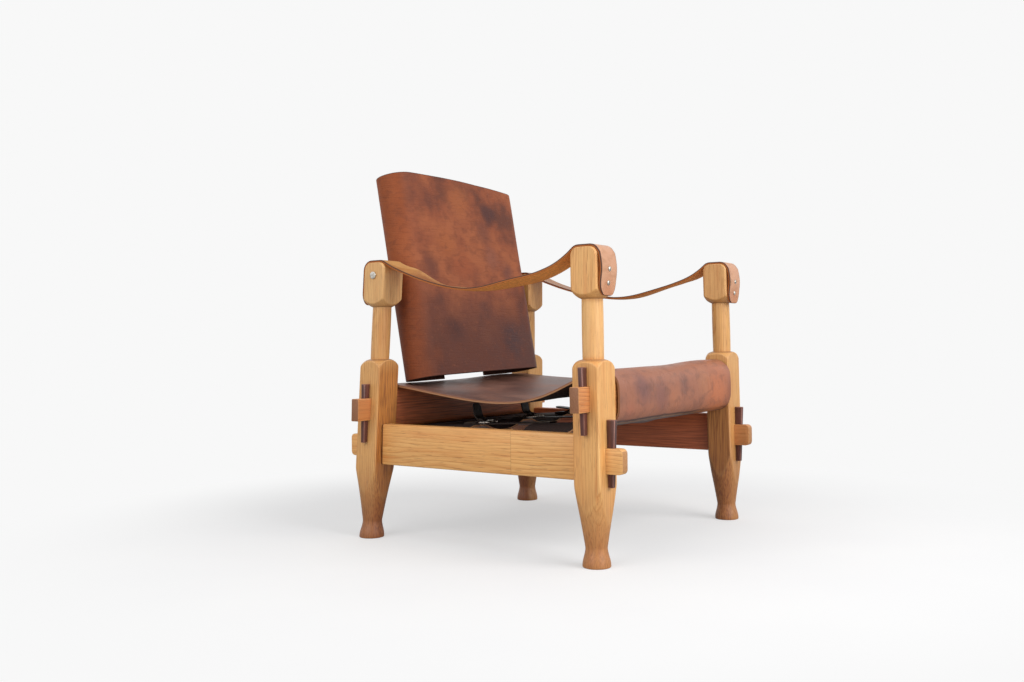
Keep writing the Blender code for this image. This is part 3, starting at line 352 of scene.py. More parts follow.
@dataclass(frozen=True)
class OakFinish:
    """Oiled oak: growth rings about a pith beside the piece, fibres and open pores.

    A post may be paler between two heights, partly as painted light, darker towards its foot from
    dirt and painted shade, and carry painted shade on one side; a side rail may show the joint of its
    two boards and a painted shadow in the gap at its shoulder.
    """

    name: str
    grain: Grain
    pith: Triple
    light: Colour = (242, 194, 126)
    middle: Colour = (226, 170, 104)
    line: Colour = (184, 118, 60)
    end: Colour = (190, 136, 86)
    warm: Colour = (204, 122, 58)
    pore: Colour = (132, 78, 38)
    vessel: Colour = (104, 62, 36)
    rubbed: Colour = (235, 188, 124)
    ring: float = 0.0052
    ring_waver: float = 0.03
    # Darkens the whole piece: on the posts away from the lamps this is painted shade.
    tint: float = 1.0
    # Paler, specked stretch between two heights: partly painted light.
    pale: Span | None = None
    bleached: tuple[Colour, Colour] = ((246, 212, 156), (186, 128, 70))
    # Darker towards the foot: partly dirt, partly painted shade.
    foot_shade: float = 0.0
    foot_reach: Span = (0.01, 0.2)
    grime: tuple[Colour, Colour] = ((156, 90, 50), (120, 64, 36))
    # Painted shade on the faces turned one way, below a height and within a reach along the fibres.
    aged_side: tuple[str, float] | None = None
    aged: Colour = (192, 102, 64)
    aged_fibre: Colour = (122, 60, 38)
    aged_ring: Colour = (136, 68, 42)
    aged_reach: float = 9.0
    aged_below: float = 9.0
    aged_turn: Span = (0.5, 0.9)
    board_joint: float | None = None
    next_board: Triple = (0.007, 0.004, 0.3)
    joint_line: Colour = (130, 80, 44)
    # Painted shadow line in the gap where a rail's shoulder meets the post.
    shoulder: Span | None = None
    shoulder_gap: Colour = (84, 40, 22)

    def make(self) -> Material:
        """Node material of the wood."""
        figure = self.figure()
        recipe, axes, fibre = figure.recipe, figure.axes, figure.fibre
        self.paint_wood(figure)
        # Paler stretch: partly painted light.
        if self.pale is not None:
            self.paint_pale(figure)
        if self.board_joint is not None:
            off = recipe.maths("ABSOLUTE", recipe.maths("SUBTRACT", axes["Y"], self.board_joint))
            recipe.lay(self.joint_line, off, (0.0002, 0.001), (0.34, 0.0))
        # Painted shade on one side.
        if self.aged_side is not None:
            self.paint_aged(figure)
        # Darker foot: partly dirt, partly painted shade.
        if self.foot_shade:
            grime = recipe.over(*self.grime, fibre, (0.4, 0.7))
            recipe.lay(grime, axes["Z"], self.foot_reach, (self.foot_shade, 0.0))
        # Edges and the turned crease lighter: partly wear, partly painted highlight.
        recipe.cover(recipe.times(recipe.attribute("edge"), 0.2), self.rubbed)
        # Painted shadow in the gap at the rail's shoulder.
        if self.shoulder is not None:
            level, lean = self.shoulder
            off = recipe.maths("SUBTRACT", recipe.maths("MULTIPLY_ADD", axes["Z"], lean, axes["Y"]), level)
            recipe.lay(self.shoulder_gap, recipe.maths("ABSOLUTE", off), (0.003, 0.0055), (0.9, 0.0))
        # Overall darkening with a slight warm shift; on the posts away from the lamps it is painted shade.
        recipe.cover(1.0, tuple(round(255 * self.tint * share) for share in (1.0, 0.99, 0.97)), "MULTIPLY")
        roughness = recipe.between(fibre, 0.3, 0.8, 0.36, 0.52)
        return recipe.finish(roughness, recipe.relief(fibre, 0.0001, recipe.relief(figure.pores, -0.00018)))

    def figure(self) -> WoodFigure:
        """Coordinates along the fibres, and the rings, fibres and pores worked out from them.

        Beyond the board joint the coordinates jump, as another board's would. The ring's phase is
        the wavering distance from the pith over a ring's width, less its whole part.
        """
        recipe = Recipe(self.name)
        axes = recipe.split(recipe.position)
        place = recipe.add("ShaderNodeCombineXYZ", [axes[axis] for axis in self.grain.value]).outputs[0]
        if self.board_joint is not None:
            step = recipe.maths("GREATER_THAN", axes["Y"], self.board_joint)
            beyond = recipe.add("ShaderNodeCombineXYZ", (step, step, step)).outputs[0]
            place = recipe.vectors("MULTIPLY_ADD", beyond, self.next_board, place)
        pith = [-self.pith["XYZ".index(axis)] for axis in self.grain.value]
        across = recipe.vectors("LENGTH", recipe.stretched(place, (1.0, 1.0, 0.0), pith))
        waver = recipe.streaks(place, (16.0, 16.0, 2.2))
        distance = recipe.maths("MULTIPLY_ADD", waver, self.ring_waver, across)
        phase = recipe.maths("FRACT", recipe.maths("DIVIDE", distance, self.ring))
        fibre = recipe.streaks(place, (560.0, 560.0, 12.0))
        grooves = recipe.streaks(place, (860.0, 860.0, 28.0), detail=2.0, shift=(7.0, 3.0, 5.0))
        normals = recipe.split(recipe.add("ShaderNodeTexCoord").outputs["Normal"])
        return WoodFigure(recipe, axes, normals, place, phase, fibre, recipe.between(grooves, 0.6, 0.7))

    def paint_wood(self, figure: WoodFigure) -> None:
        """Clean wood: rings, clouds, warm streaks, fibres, open pores and end grain.

        Args:
            figure: The wood's patterns.
        """
        recipe, place = figure.recipe, figure.place
        cloud = recipe.streaks(place, (9.0, 9.0, 1.8), detail=2.0, shift=(3.0, 1.0, 2.0))
        warmth = recipe.streaks(place, (60.0, 60.0, 5.0), shift=(1.0, 4.0, 6.0))
        stops = [(0.0, self.middle), (0.72, self.light), (0.9, self.line), (1.0, self.middle)]
        recipe.colour = recipe.ramp(figure.phase, stops)
        recipe.lay(self.middle, cloud, (0.35, 0.75), (0.25, 0.85))
        recipe.lay(self.warm, warmth, (0.5, 0.72), (0.0, 0.36))
        recipe.lay(self.warm, cloud, (0.55, 0.8), (0.0, 0.3))
        recipe.lay(self.line, figure.fibre, (0.42, 0.72), (0.0, 0.36))
        recipe.cover(recipe.times(figure.pores, 0.48), self.pore)
        facing = recipe.maths("ABSOLUTE", figure.normals[self.grain.value[2]])
        vessels = recipe.streaks(place, (900.0, 900.0, 900.0), detail=2.0)
        end = recipe.over(self.end, self.vessel, vessels, (0.4, 0.7), (0.1, 0.7))
        recipe.lay(end, facing, (0.8, 0.93), (0.0, 0.85))

    def paint_pale(self, figure: WoodFigure) -> None:
        """Paler, specked wood between two heights; the lighter tone is partly painted light.

        Args:
            figure: The wood's patterns.
        """
        recipe, (low, high), fade = figure.recipe, self.pale, 0.01
        lightened = recipe.between(figure.axes["Z"], low, low + fade, 0.0, 0.22)
        lightened = recipe.times(lightened, recipe.between(figure.axes["Z"], high, high + fade, 1.0, 0.0))
        specks = recipe.noise(figure.place, 300.0)
        recipe.cover(lightened, recipe.over(*self.bleached, specks, (0.58, 0.72), (0.0, 0.45)))

    def paint_aged(self, figure: WoodFigure) -> None:
        """Painted shade on one side, within a reach along the fibres and below a height.

        Args:
            figure: The wood's patterns.
        """
        recipe, (axis, way), fade = figure.recipe, self.aged_side, 0.05
        facing = recipe.between(recipe.times(figure.normals[axis], way), *self.aged_turn)
        aged = recipe.over(self.aged, self.aged_fibre, figure.fibre, (0.4, 0.72), (0.0, 0.75))
        aged = recipe.over(aged, self.aged_ring, figure.phase, (0.55, 0.95), (0.0, 0.35))
        along = recipe.maths("ABSOLUTE", figure.axes[self.grain.value[2]])
        within = recipe.maths("LESS_THAN", along, self.aged_reach)
        below = recipe.between(figure.axes["Z"], self.aged_below - fade, self.aged_below, 0.94, 0.0)
        recipe.cover(recipe.times(facing, recipe.times(within, below)), aged)


@dataclass(frozen=True)
class WedgeFinish:
    """Dark close-grained wood, rubbed lighter along its edges."""

    name: str = "dark_wedge_wood"
    deep: Colour = (58, 31, 28)
    middle: Colour = (92, 52, 45)
    light: Colour = (112, 66, 54)
    rubbed: Colour = (148, 100, 84)

    def make(self) -> Material:
        """Node material of the wedges."""
        recipe = Recipe(self.name)
        streak = recipe.streaks(recipe.position, (240.0, 240.0, 14.0), detail=4.0)
        cloud = recipe.streaks(recipe.position, (40.0, 40.0, 12.0), detail=2.0)
        mixed = recipe.maths("MULTIPLY_ADD", cloud, 0.5, recipe.times(streak, 0.5))
        recipe.colour = recipe.ramp(mixed, [(0.36, self.deep), (0.55, self.middle), (0.7, self.light)])
        wear = recipe.times(recipe.attribute("edge"), recipe.between(streak, 0.35, 0.65, 0.25, 0.9))
        recipe.cover(wear, self.rubbed)
        return recipe.finish(recipe.between(streak, 0.3, 0.7, 0.34, 0.5), recipe.relief(streak, 0.00015))


@dataclass(frozen=True)
class Stain:
    """A soft patch of another colour on a hide."""

    centre: Triple
    radius: float
    colour: Colour
    strength: float

    def paint(self, recipe: Recipe, mottle: Socket) -> None:
        """Lay the patch on; its rim wavers with the mottling.

        Args:
            recipe: Material being written.
            mottle: The hide's clouds, between 0 and 1.
        """
        away = recipe.vectors("DISTANCE", recipe.position, self.centre)
        ragged = recipe.maths("MULTIPLY_ADD", mottle, self.radius * 1.6, away)
        recipe.lay(self.colour, ragged, (self.radius, self.radius * 1.9), (self.strength, 0.0))


@dataclass(frozen=True)
class Zone:
    """Another colour beyond a ragged line: none at the first coordinate, full at the second."""

    axis: str
    none_at: float
    full_at: float
    colour: Colour
    strength: float
    ragged: float
    front_only: bool = False

    def paint(self, recipe: Recipe, mottle: Socket) -> None:
        """Lay the zone on; its line wavers with the mottling.

        Args:
            recipe: Material being written.
            mottle: The hide's clouds, between 0 and 1.
        """
        axes = recipe.split(recipe.position)
        off = recipe.maths("SUBTRACT", mottle, 0.5)
        waver = recipe.maths("MULTIPLY_ADD", off, self.ragged * 4, axes[self.axis])
        amount = recipe.between(waver, self.none_at, self.full_at, 0.0, self.strength)
        if self.front_only:
            amount = recipe.times(amount, recipe.between(axes["Y"], -0.25, -0.22, 1.0, 0.0))
        recipe.cover(amount, self.colour)


@dataclass(frozen=True)
class HideFinish:
    """Vegetable-tanned saddle leather: mottled colour, pores, fine creases and cut edges."""

    name: str
    deep: Colour
    middle: Colour
    warm: Colour
    flesh: Colour
    cut: Colour
    stains: tuple[Stain, ...] = ()
    zones: tuple[Zone, ...] = ()
    crease: Triple = (14.0, 14.0, 150.0)
    crease_mark: float = 0.16
    cloud_scale: float = 7.0
    swirl: float = 1.1
    shine: Span = (0.36, 0.52)
    gloss: float = 0.4
    cut_grain: Colour = (70, 44, 32)

    def make(self) -> Material:
        """Node material of the leather."""
        recipe = Recipe(self.name)
        place = recipe.position
        mottle = self.mottle(recipe)
        recipe.colour = recipe.ramp(mottle, [(0.39, self.deep), (0.5, self.middle), (0.61, self.warm)])
        for patch in (*self.zones, *self.stains):
            patch.paint(recipe, mottle)
        moved = recipe.stretched(place, (1.0, 1.0, 1.6), (2.0, 7.0, 4.0))
        patina = recipe.noise(moved, self.cloud_scale * 5.0, 5.0, 0.6)
        recipe.lay(self.deep, patina, (0.46, 0.7), (0.0, 0.36))
        lines = recipe.between(recipe.streaks(place, self.crease, detail=4.0, distortion=0.3), 0.52, 0.66)
        recipe.cover(recipe.times(lines, self.crease_mark), self.deep)
        recipe.lay(self.warm, recipe.noise(place, 120.0, 5.0, 0.4), (0.56, 0.76), (0.0, 0.22))
        pores = recipe.cells(place, 620.0)
        recipe.lay(self.deep, pores, (0.0, 0.35), (0.16, 0.0))
        nap = recipe.noise(place, 260.0, 4.0)
        inside = recipe.attribute("flesh")
        recipe.lay(recipe.over(self.flesh, self.deep, nap, (0.35, 0.7), (0.0, 0.45)), inside, (0.45, 0.55))
        cut = recipe.between(recipe.attribute("edge"), 0.45, 0.98, 0.0, 0.94)
        recipe.cover(cut, recipe.over(self.cut_grain, self.cut, inside, (0.42, 0.62)))
        recipe.feed(recipe.shader, "Specular IOR Level", self.gloss)
        roughness = recipe.between(mottle, 0.35, 0.65, *self.shine)
        for rough in (inside, cut):
            roughness = recipe.maths("MAXIMUM", roughness, recipe.times(rough, 0.8))
        normal = None
        for height, depth in ((pores, 0.00016), (lines, -0.00022), (nap, 0.00012)):
            normal = recipe.relief(height, depth, normal)
        return recipe.finish(roughness, normal)

    def mottle(self, recipe: Recipe) -> Socket:
        """Large clouds with smaller ones in them, between 0 and 1."""
        clouds = recipe.noise(recipe.position, self.cloud_scale, 5.0, self.swirl)
        moved = recipe.stretched(recipe.position, (1.0, 1.0, 1.0), (5.0, 2.0, 8.0))
        drift = recipe.noise(moved, self.cloud_scale * 2.6, 4.0, self.swirl * 0.7)
        return recipe.maths("MULTIPLY_ADD", drift, 0.36, recipe.times(clouds, 0.64))


@dataclass(frozen=True)
class MetalFinish:
    """Nickel plate, dulled and faintly scratched."""

    name: str = "dulled_nickel"
    dull: Colour = (168, 160, 148)
    bright: Colour = (214, 210, 202)

    def make(self) -> Material:
        """Node material of the metal."""
        recipe = Recipe(self.name)
        cloud = recipe.noise(recipe.position, 160.0)
        scratches = recipe.streaks(recipe.position, (900.0, 900.0, 90.0))
        recipe.colour = recipe.ramp(cloud, [(0.35, self.dull), (0.62, self.bright)])
        recipe.feed(recipe.shader, "Metallic", 1.0)
        roughness = recipe.between(scratches, 0.35, 0.7, 0.22, 0.42)
        return recipe.finish(roughness, recipe.relief(scratches, 0.00004))


@dataclass(frozen=True)
class ThreadFinish:
    """Waxed linen thread."""

    name: str = "waxed_thread"
    shaded: Colour = (96, 76, 56)
    lit: Colour = (150, 124, 92)

    def make(self) -> Material:
        """Node material of the thread."""
        recipe = Recipe(self.name)
        twist = recipe.noise(recipe.position, 1400.0, 2.0)
        recipe.colour = recipe.ramp(twist, [(0.35, self.shaded), (0.65, self.lit)])
        return recipe.finish(recipe.between(twist, 0.3, 0.7, 0.5, 0.7), recipe.relief(twist, 0.0001))


Finish = OakFinish | WedgeFinish | HideFinish | MetalFinish | ThreadFinish

# Meshes from whole arrays


def surface(x: Array, y: Array, z: Array) -> Array:
    """Grid of points whose coordinates are spread over one another."""
    return np.stack(np.broadcast_arrays(x, y, z), axis=-1)


def quads(index: Array) -> Array:
    """Faces between neighbours in a grid of point numbers whose last column joins the first."""
    index = np.concatenate([index, index[:, :1]], axis=1)
    corners = [index[:-1, :-1], index[:-1, 1:], index[1:, 1:], index[1:, :-1]]
    return np.stack(corners, axis=-1).reshape(-1, 4)


def arc(centre: Sequence[float], radius: float, start_deg: float, end_deg: float, count: int = 16) -> Array:
    """Points on a circle: centre + radius (cos a, sin a) for even angles, both ends included."""
    angle = np.radians(np.linspace(start_deg, end_deg, count))
    return np.array(centre) + radius * np.stack([np.cos(angle), np.sin(angle)], axis=1)


def curve(*knots: Sequence[float], count: int = 40) -> Array:
    """A cubic curve: its four knots weighted by (1-t)^3, 3t(1-t)^2, 3t^2(1-t) and t^3.

    Args:
        knots: Start, the two that it leans to, and end.
        count: Number of points.

    Returns:
        The points, a row each.
    """
    t = np.linspace(0.0, 1.0, count)[:, None]
    weights = [(1 - t) ** 3, 3 * t * (1 - t) ** 2, 3 * t * t * (1 - t), t**3]
    return sum(weight * np.array(knot, float) for weight, knot in zip(weights, knots))


def toward(point: Sequence[float], length: float, angle_deg: float) -> Array:
    """The point a length away from another, at an angle."""
    angle = math.radians(angle_deg)
    return np.array(point) + length * np.array([math.cos(angle), math.sin(angle)])


def lengths_along(path: Array) -> Array:
    """Distance along a path at each of its points."""
    steps = np.linalg.norm(np.diff(path, axis=0), axis=1)
    return np.concatenate([[0.0], np.cumsum(steps)])


def evenly(path: Array, spacing: float, ends: float = 0.0) -> Array:
    """A path's points at even spacing, closer together within a length of both ends.

    Args:
        path: Points, a row each.
        spacing: Distance between the new points.
        ends: Length at each end that gets four extra points, or none if 0.

    Returns:
        The new points, read off the old ones by length along the path.
    """
    along = lengths_along(path)
    total = along[-1]
    places = np.linspace(0.0, total, max(3, int(round(total / spacing)) + 1))
    if ends:
        extra, clear = ends * np.array([0.12, 0.35, 0.65, 1.0]), ends * 1.2
        places = np.unique(np.concatenate([places[(places == 0) | (places > clear)], extra]))
        kept = places[(places == total) | (places < total - clear)]
        places = np.unique(np.concatenate([kept, total - extra]))
    return np.stack([np.interp(places, along, path[:, axis]) for axis in range(path.shape[1])], axis=1)


def clustered(count: int, near_edge: Sequence[float]) -> Array:
    """Shares from -1 to 1 across a strip: even in the middle, with given gaps from both edges."""
    inner = np.linspace(-1 + near_edge[-1], 1 - near_edge[-1], count)
    outer = np.array(near_edge[:-1])
    return np.concatenate([-1 + outer, inner, (1 - outer)[::-1]])


def tongue(width: float, tip_share: float, from_tip: Array, reach: float) -> Array:
    """Half width of a strip with rounded tongues.

    The half width falls like an ellipse, s + (1 - s) sqrt(1 - t^2), over the tongue's length.

    Args:
        width: Full width of the strip.
        tip_share: Share s of the width that is left at the very tip.
        from_tip: Distance from the tip at each section.
        reach: Length of the tongue.

    Returns:
        The half width at each section.
    """
    into = np.clip(1 - from_tip / reach, 0, 1)
    return width / 2 * (tip_share + (1 - tip_share) * np.sqrt(1 - into**2))


@dataclass
class Shape:
    """Points, faces and the numbers that the material reads at each point."""

    points: Array
    faces: list[list[int]]
    numbers: dict[str, Array] = field(default_factory=dict)

    def turned_by(self, matrix: Matrix) -> "Shape":
        """The same shape after a 4x4 transform: p -> M p."""
        grid = np.array(matrix)
        moved = self.points @ grid[:3, :3].T + grid[:3, 3]
        return Shape(moved, self.faces, self.numbers)


def block(low: Sequence[float], high: Sequence[float]) -> Shape:
    """A box between its lowest and its highest corner."""
    corners = [[x, y, z] for x in (low[0], high[0]) for y in (low[1], high[1]) for z in (low[2], high[2])]
    return Shape(np.array(corners, float), BOX_SIDES)


def lofted(grid: Array, numbers: dict[str, Array] | None = None, ring: bool = False) -> Shape:
    """A closed body from a grid of sections.

    Args:
        grid: Points by section and place round the section.
        numbers: Values at each grid point.
        ring: Whether the last section joins the first; otherwise both ends are capped.

    Returns:
        The closed shape.
    """
    index = np.arange(grid.shape[0] * grid.shape[1]).reshape(grid.shape[:2])
    faces = quads(np.concatenate([index, index[:1]]) if ring else index).tolist()
    if not ring:
        faces += [index[0, ::-1].tolist(), index[-1].tolist()]
    values = {name: value.reshape(-1) for name, value in (numbers or {}).items()}
    return Shape(grid.reshape(-1, 3), faces, values)


def thick_sheet(
    middle: Array, thickness: float, bulge: float = HIDE_BULGE, reach: float = 0.0022
) -> Shape:
    """Leather of even thickness whose cut edges are eased.

    Each section is the middle line pushed out by half the thickness along the surface's normal,
    cross(dP/ds, dP/dt), on both sides, and joined by half ellipses at its two edges. Towards the
    ends the thickness falls like a quarter round. The grain side is the one the normal points to.

    Args:
        middle: Grid of the middle surface, along the strip and then across it.
        thickness: Thickness of the hide.
        bulge: How far the rounded edge stands out.
        reach: How far from an edge its colour fades.

    Returns:
        The closed shape, with its edge and flesh numbers.
    """
    along = np.gradient(middle, axis=0)
    across = np.gradient(middle, axis=1)
    normal = np.cross(along, across)
    normal /= np.linalg.norm(normal, axis=2, keepdims=True)
    across /= np.linalg.norm(across, axis=2, keepdims=True)
    place = lengths_along(middle[:, middle.shape[1] // 2])
    from_end = np.minimum(place, place[-1] - place)
    ease = np.clip(from_end / (thickness / 3), 0.0, 1.0)
    half = thickness / 2 * (0.45 + 0.55 * np.sqrt(1 - (1 - ease) ** 2))[:, None, None]
    widths = np.linalg.norm(np.diff(middle, axis=1), axis=2)
    over = np.concatenate([np.zeros((len(middle), 1)), np.cumsum(widths, axis=1)], axis=1)
    from_side = np.minimum(over, over[:, -1:] - over)
    nearest = np.minimum(from_side, from_end[:, None])
    edge = np.exp(-((nearest / reach) ** 2) * 2.5)
    angles = np.radians(np.array([30.0, 62.0, 90.0, 118.0, 150.0]))

    def rim(column: int, sign: float) -> Array:
        """Half ellipse round one edge, from the grain side to the flesh side."""
        base = middle[:, column][:, None]
        out = across[:, column][:, None] * (sign * bulge * np.sin(angles))[None, :, None]
        return base + out + normal[:, column][:, None] * half * np.cos(angles)[None, :, None]

    grid = np.concatenate([
        middle + normal * half, rim(-1, 1.0), (middle - normal * half)[:, ::-1], rim(0, -1.0)[:, ::-1]
    ], axis=1)
    ones = np.ones((len(middle), len(angles)))
    edges = np.concatenate([edge, ones, edge[:, ::-1], ones], axis=1)
    turn = ones * np.linspace(0.1, 0.9, len(angles))
    inside = np.concatenate([np.zeros_like(edge), turn, np.ones_like(edge), turn[:, ::-1]], axis=1)
    return lofted(grid, {"edge": edges, "flesh": inside})


def tube(
    path: Array, radii: Array, sides: int = 12, ring: bool = False, level: Triple = (0, 0, 1)
) -> Shape:
    """A round bar: each point of the path carries a circle square to the path.

    Args:
        path: Centre line, a row for each point.
        radii: Radius at each point.
        sides: Points round the bar.
        ring: Whether the bar closes on itself.
        level: A direction that the path never follows, which fixes the circles' turn.

    Returns:
        The closed bar.
    """
    if ring:
        ahead = np.roll(path, -1, axis=0) - np.roll(path, 1, axis=0)
    else:
        ahead = np.gradient(path, axis=0)
    ahead /= np.linalg.norm(ahead, axis=1, keepdims=True)
    first = np.cross(ahead, np.array(level, float))
    first /= np.linalg.norm(first, axis=1, keepdims=True)
    second = np.cross(ahead, first)
    angle = np.linspace(0, 2 * math.pi, sides, endpoint=False)[None, :, None]
    around = first[:, None] * np.cos(angle) + second[:, None] * np.sin(angle)
    return lofted(path[:, None] + radii[:, None, None] * around, ring=ring)


def turned(profile: Array, sides: int = 48, ring: bool = False) -> Shape:
    """A profile turned about the X axis: (l, r cos a, r sin a).

    Args:
        profile: Rows of radius r and length l.
        sides: Points round the axis.
        ring: Whether the profile closes on itself round a bore.

    Returns:
        The turned shape.
    """
    angle = np.linspace(0, 2 * math.pi, sides, endpoint=False)
    radius, length = profile[:, :1], profile[:, 1:]
    return lofted(surface(length, radius * np.cos(angle), radius * np.sin(angle)), ring=ring)


def mesh_from(name: str, shape: Shape) -> Mesh:
    """A Blender mesh of a shape, with its faces turned outwards and its numbers stored.

    Args:
        name: Name of the mesh.
        shape: Closed shape.

    Returns:
        The mesh.
    """
    mesh = bpy.data.meshes.new(name)
    mesh.from_pydata(shape.points.tolist(), [], shape.faces)
    for key, values in shape.numbers.items():
        numbers = mesh.attributes.new(key, "FLOAT", "POINT")
        numbers.data.foreach_set("value", values.astype(np.float32))
    solid = bmesh.new()
    solid.from_mesh(mesh)
    bmesh.ops.recalc_face_normals(solid, faces=solid.faces)
    solid.to_mesh(mesh)
    solid.free()
    return mesh


def softened(node: bpy.types.Object, width: float, segments: int = 2) -> Mesh:
    """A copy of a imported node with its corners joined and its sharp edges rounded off.

    Args:
        node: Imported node.
        width: Width of the rounding.
        segments: Faces across it.

    Returns:
        The new mesh; its edge number is 1 on the rounding.
    """
    mesh = node.data.copy()
    for name in ("custom_normal", "sharp_edge", "sharp_face"):
        if name in mesh.attributes:
            mesh.attributes.remove(mesh.attributes[name])
    mesh.materials.clear()
    solid = bmesh.new()
    solid.from_mesh(mesh)
    bmesh.ops.remove_doubles(solid, verts=solid.verts, dist=2e-5)
    bmesh.ops.dissolve_limit(solid, angle_limit=math.radians(0.6), verts=solid.verts, edges=solid.edges)
    lightened = solid.faces.layers.float.new("edge")
    sharp = [line for line in solid.edges if line.calc_face_angle(0.0) > math.radians(40)]
    made = bmesh.ops.bevel(
        solid, geom=sharp, offset=width, offset_type="OFFSET", segments=segments, profile=0.5,
        affect="EDGES", clamp_overlap=True,
    )
    for face in made["faces"]:
        face[lightened] = 1.0
    bmesh.ops.triangulate(solid, faces=[face for face in solid.faces if len(face.verts) > 4])
    solid.to_mesh(mesh)
    solid.free()
    return mesh


@dataclass
class Workshop:
    """Places finished meshes in the scene and reports them."""

    nodes: dict[str, bpy.types.Object]
    finishes: dict[str, Material] = field(default_factory=dict)

    def material(self, finish: Finish) -> Material:
        """The material of a finish, made once."""
        if finish.name not in self.finishes:
            self.finishes[finish.name] = finish.make()
        return self.finishes[finish.name]

    def place(
        self, name: str, mesh: Mesh, finish: Finish, slot: str, node: str | None,
        body: str = Body.FRAME.value, sharp_deg: float = 42.0,
    ) -> bpy.types.Object:
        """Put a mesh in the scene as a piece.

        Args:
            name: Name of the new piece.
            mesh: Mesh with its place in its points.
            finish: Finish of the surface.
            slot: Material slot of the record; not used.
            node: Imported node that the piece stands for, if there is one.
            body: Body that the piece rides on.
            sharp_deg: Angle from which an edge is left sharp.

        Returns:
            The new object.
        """
        mesh.materials.append(self.material(finish))
        mesh.shade_smooth()
        mesh.set_sharp_from_angle(angle=math.radians(sharp_deg))
        piece = put_in(name, mesh)
        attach(piece, body)
        if node is not None:
            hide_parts(node)
        LOG.info("%s: %d faces", name, len(mesh.polygons))
        return piece


# The posts


@dataclass(frozen=True)
class Bar:
    """Section of a bar between two posts that leather is led round."""

    set_back: float
    depth: float
    bottom: float
    height: float
    radius: float

    def corners(self) -> tuple[Span, Span, Span, Span]:
        """Middles of its rounded corners: low front, low rear, high rear, high front."""
        near, far = self.set_back - self.depth / 2 + self.radius, self.set_back + self.depth / 2 - self.radius
        low, high = self.bottom + self.radius, self.bottom + self.height - self.radius
        return (near, low), (far, low), (far, high), (near, high)


FRONT_RAIL = Bar(set_back=0.0035, depth=0.06, bottom=0.264, height=0.1, radius=0.027)
REAR_RAIL = Bar(set_back=0.0, depth=0.04, bottom=0.235, height=0.093, radius=0.012)
POST_HEAD = Bar(0.0, POST_DEPTH, HEAD_BOTTOM, HEAD_TOP - HEAD_BOTTOM, HEAD_ROUND)


@dataclass(frozen=True)
class PostPair:
    """The front or the rear pair of posts: where it stands, how it leans and its rail's height."""

    name: str
    out: int
    foot_y: float
    inward: float
    forward: float
    tenon: float

    @property
    def is_front(self) -> bool:
        """Whether this is the front pair."""
        return self.out < 0

    def x(self, height: float | Array) -> float | Array:
        """How far the posts' middle is from the chair's middle at a height."""
        return POST_X - self.inward * height

    def y(self, height: float | Array, offset: float | Array = 0.0) -> float | Array:
        """Y of the posts' middle, or of a point offset from it, at a height."""
        return self.foot_y + offset - self.forward * height

    def wrap(self, bar: Bar) -> Callable[..., Array]:
        """The way of a hide round a bar between the posts.

        Args:
            bar: Section of the bar.

        Returns:
            A function of corner, start angle, end angle and count, which gives the hide's middle
            line round that corner in Y and Z.
        """

        def points(corner: int, start_deg: float, end_deg: float, count: int = 16) -> Array:
            """Points of one corner's arc in Y and Z, leaning with the posts."""
            reach = bar.radius + (FIT + HIDE_THICKNESS / 2)
            flat = arc(bar.corners()[corner], reach, start_deg, end_deg, count)
            return np.stack([self.y(flat[:, 1], flat[:, 0]), flat[:, 1]], axis=1)

        return points


@dataclass(frozen=True)
class Stand:
    """Both pairs of posts, read from the record's foot mounts."""

    front: PostPair
    rear: PostPair

    @classmethod
    def from_record(cls, record: dict) -> "Stand":
        """Pairs that stand where the record's foot mounts are."""
        feet = {mount["name"]: mount["pos_m"][1] for mount in record["mounts"]}
        front, rear = feet["foot_front_right"], feet["foot_rear_right"]
        return cls(
            PostPair("front", -1, front, inward=0.013, forward=-0.014, tenon=0.3155),
            PostPair("rear", 1, rear, inward=0.041, forward=0.04, tenon=0.281),
        )

    @property
    def pairs(self) -> tuple[PostPair, PostPair]:
        """Front pair and rear pair."""
        return self.front, self.rear

    @property
    def middle_y(self) -> float:
        """Y of the middle between the front and the rear feet."""
        return (self.front.foot_y + self.rear.foot_y) / 2

    @property
    def skew(self) -> float:
        """How much the side rails turn inwards towards the rear, in x for each y."""
        level = SIDE_TENON_CENTRE
        run = self.rear.y(level) - self.front.y(level)
        return (self.rear.x(level) - self.front.x(level)) / run

    def inward_share(self, y: Array, height: float) -> Array:
        """Inward lean between the front pair's and the rear pair's, in step with Y."""
        front = self.front.y(height, POST_DEPTH / 2)
        rear = self.rear.y(height, -POST_DEPTH / 2)
        share = np.clip((y - front) / (rear - front), 0.0, 1.0)
        return self.front.inward + (self.rear.inward - self.front.inward) * share


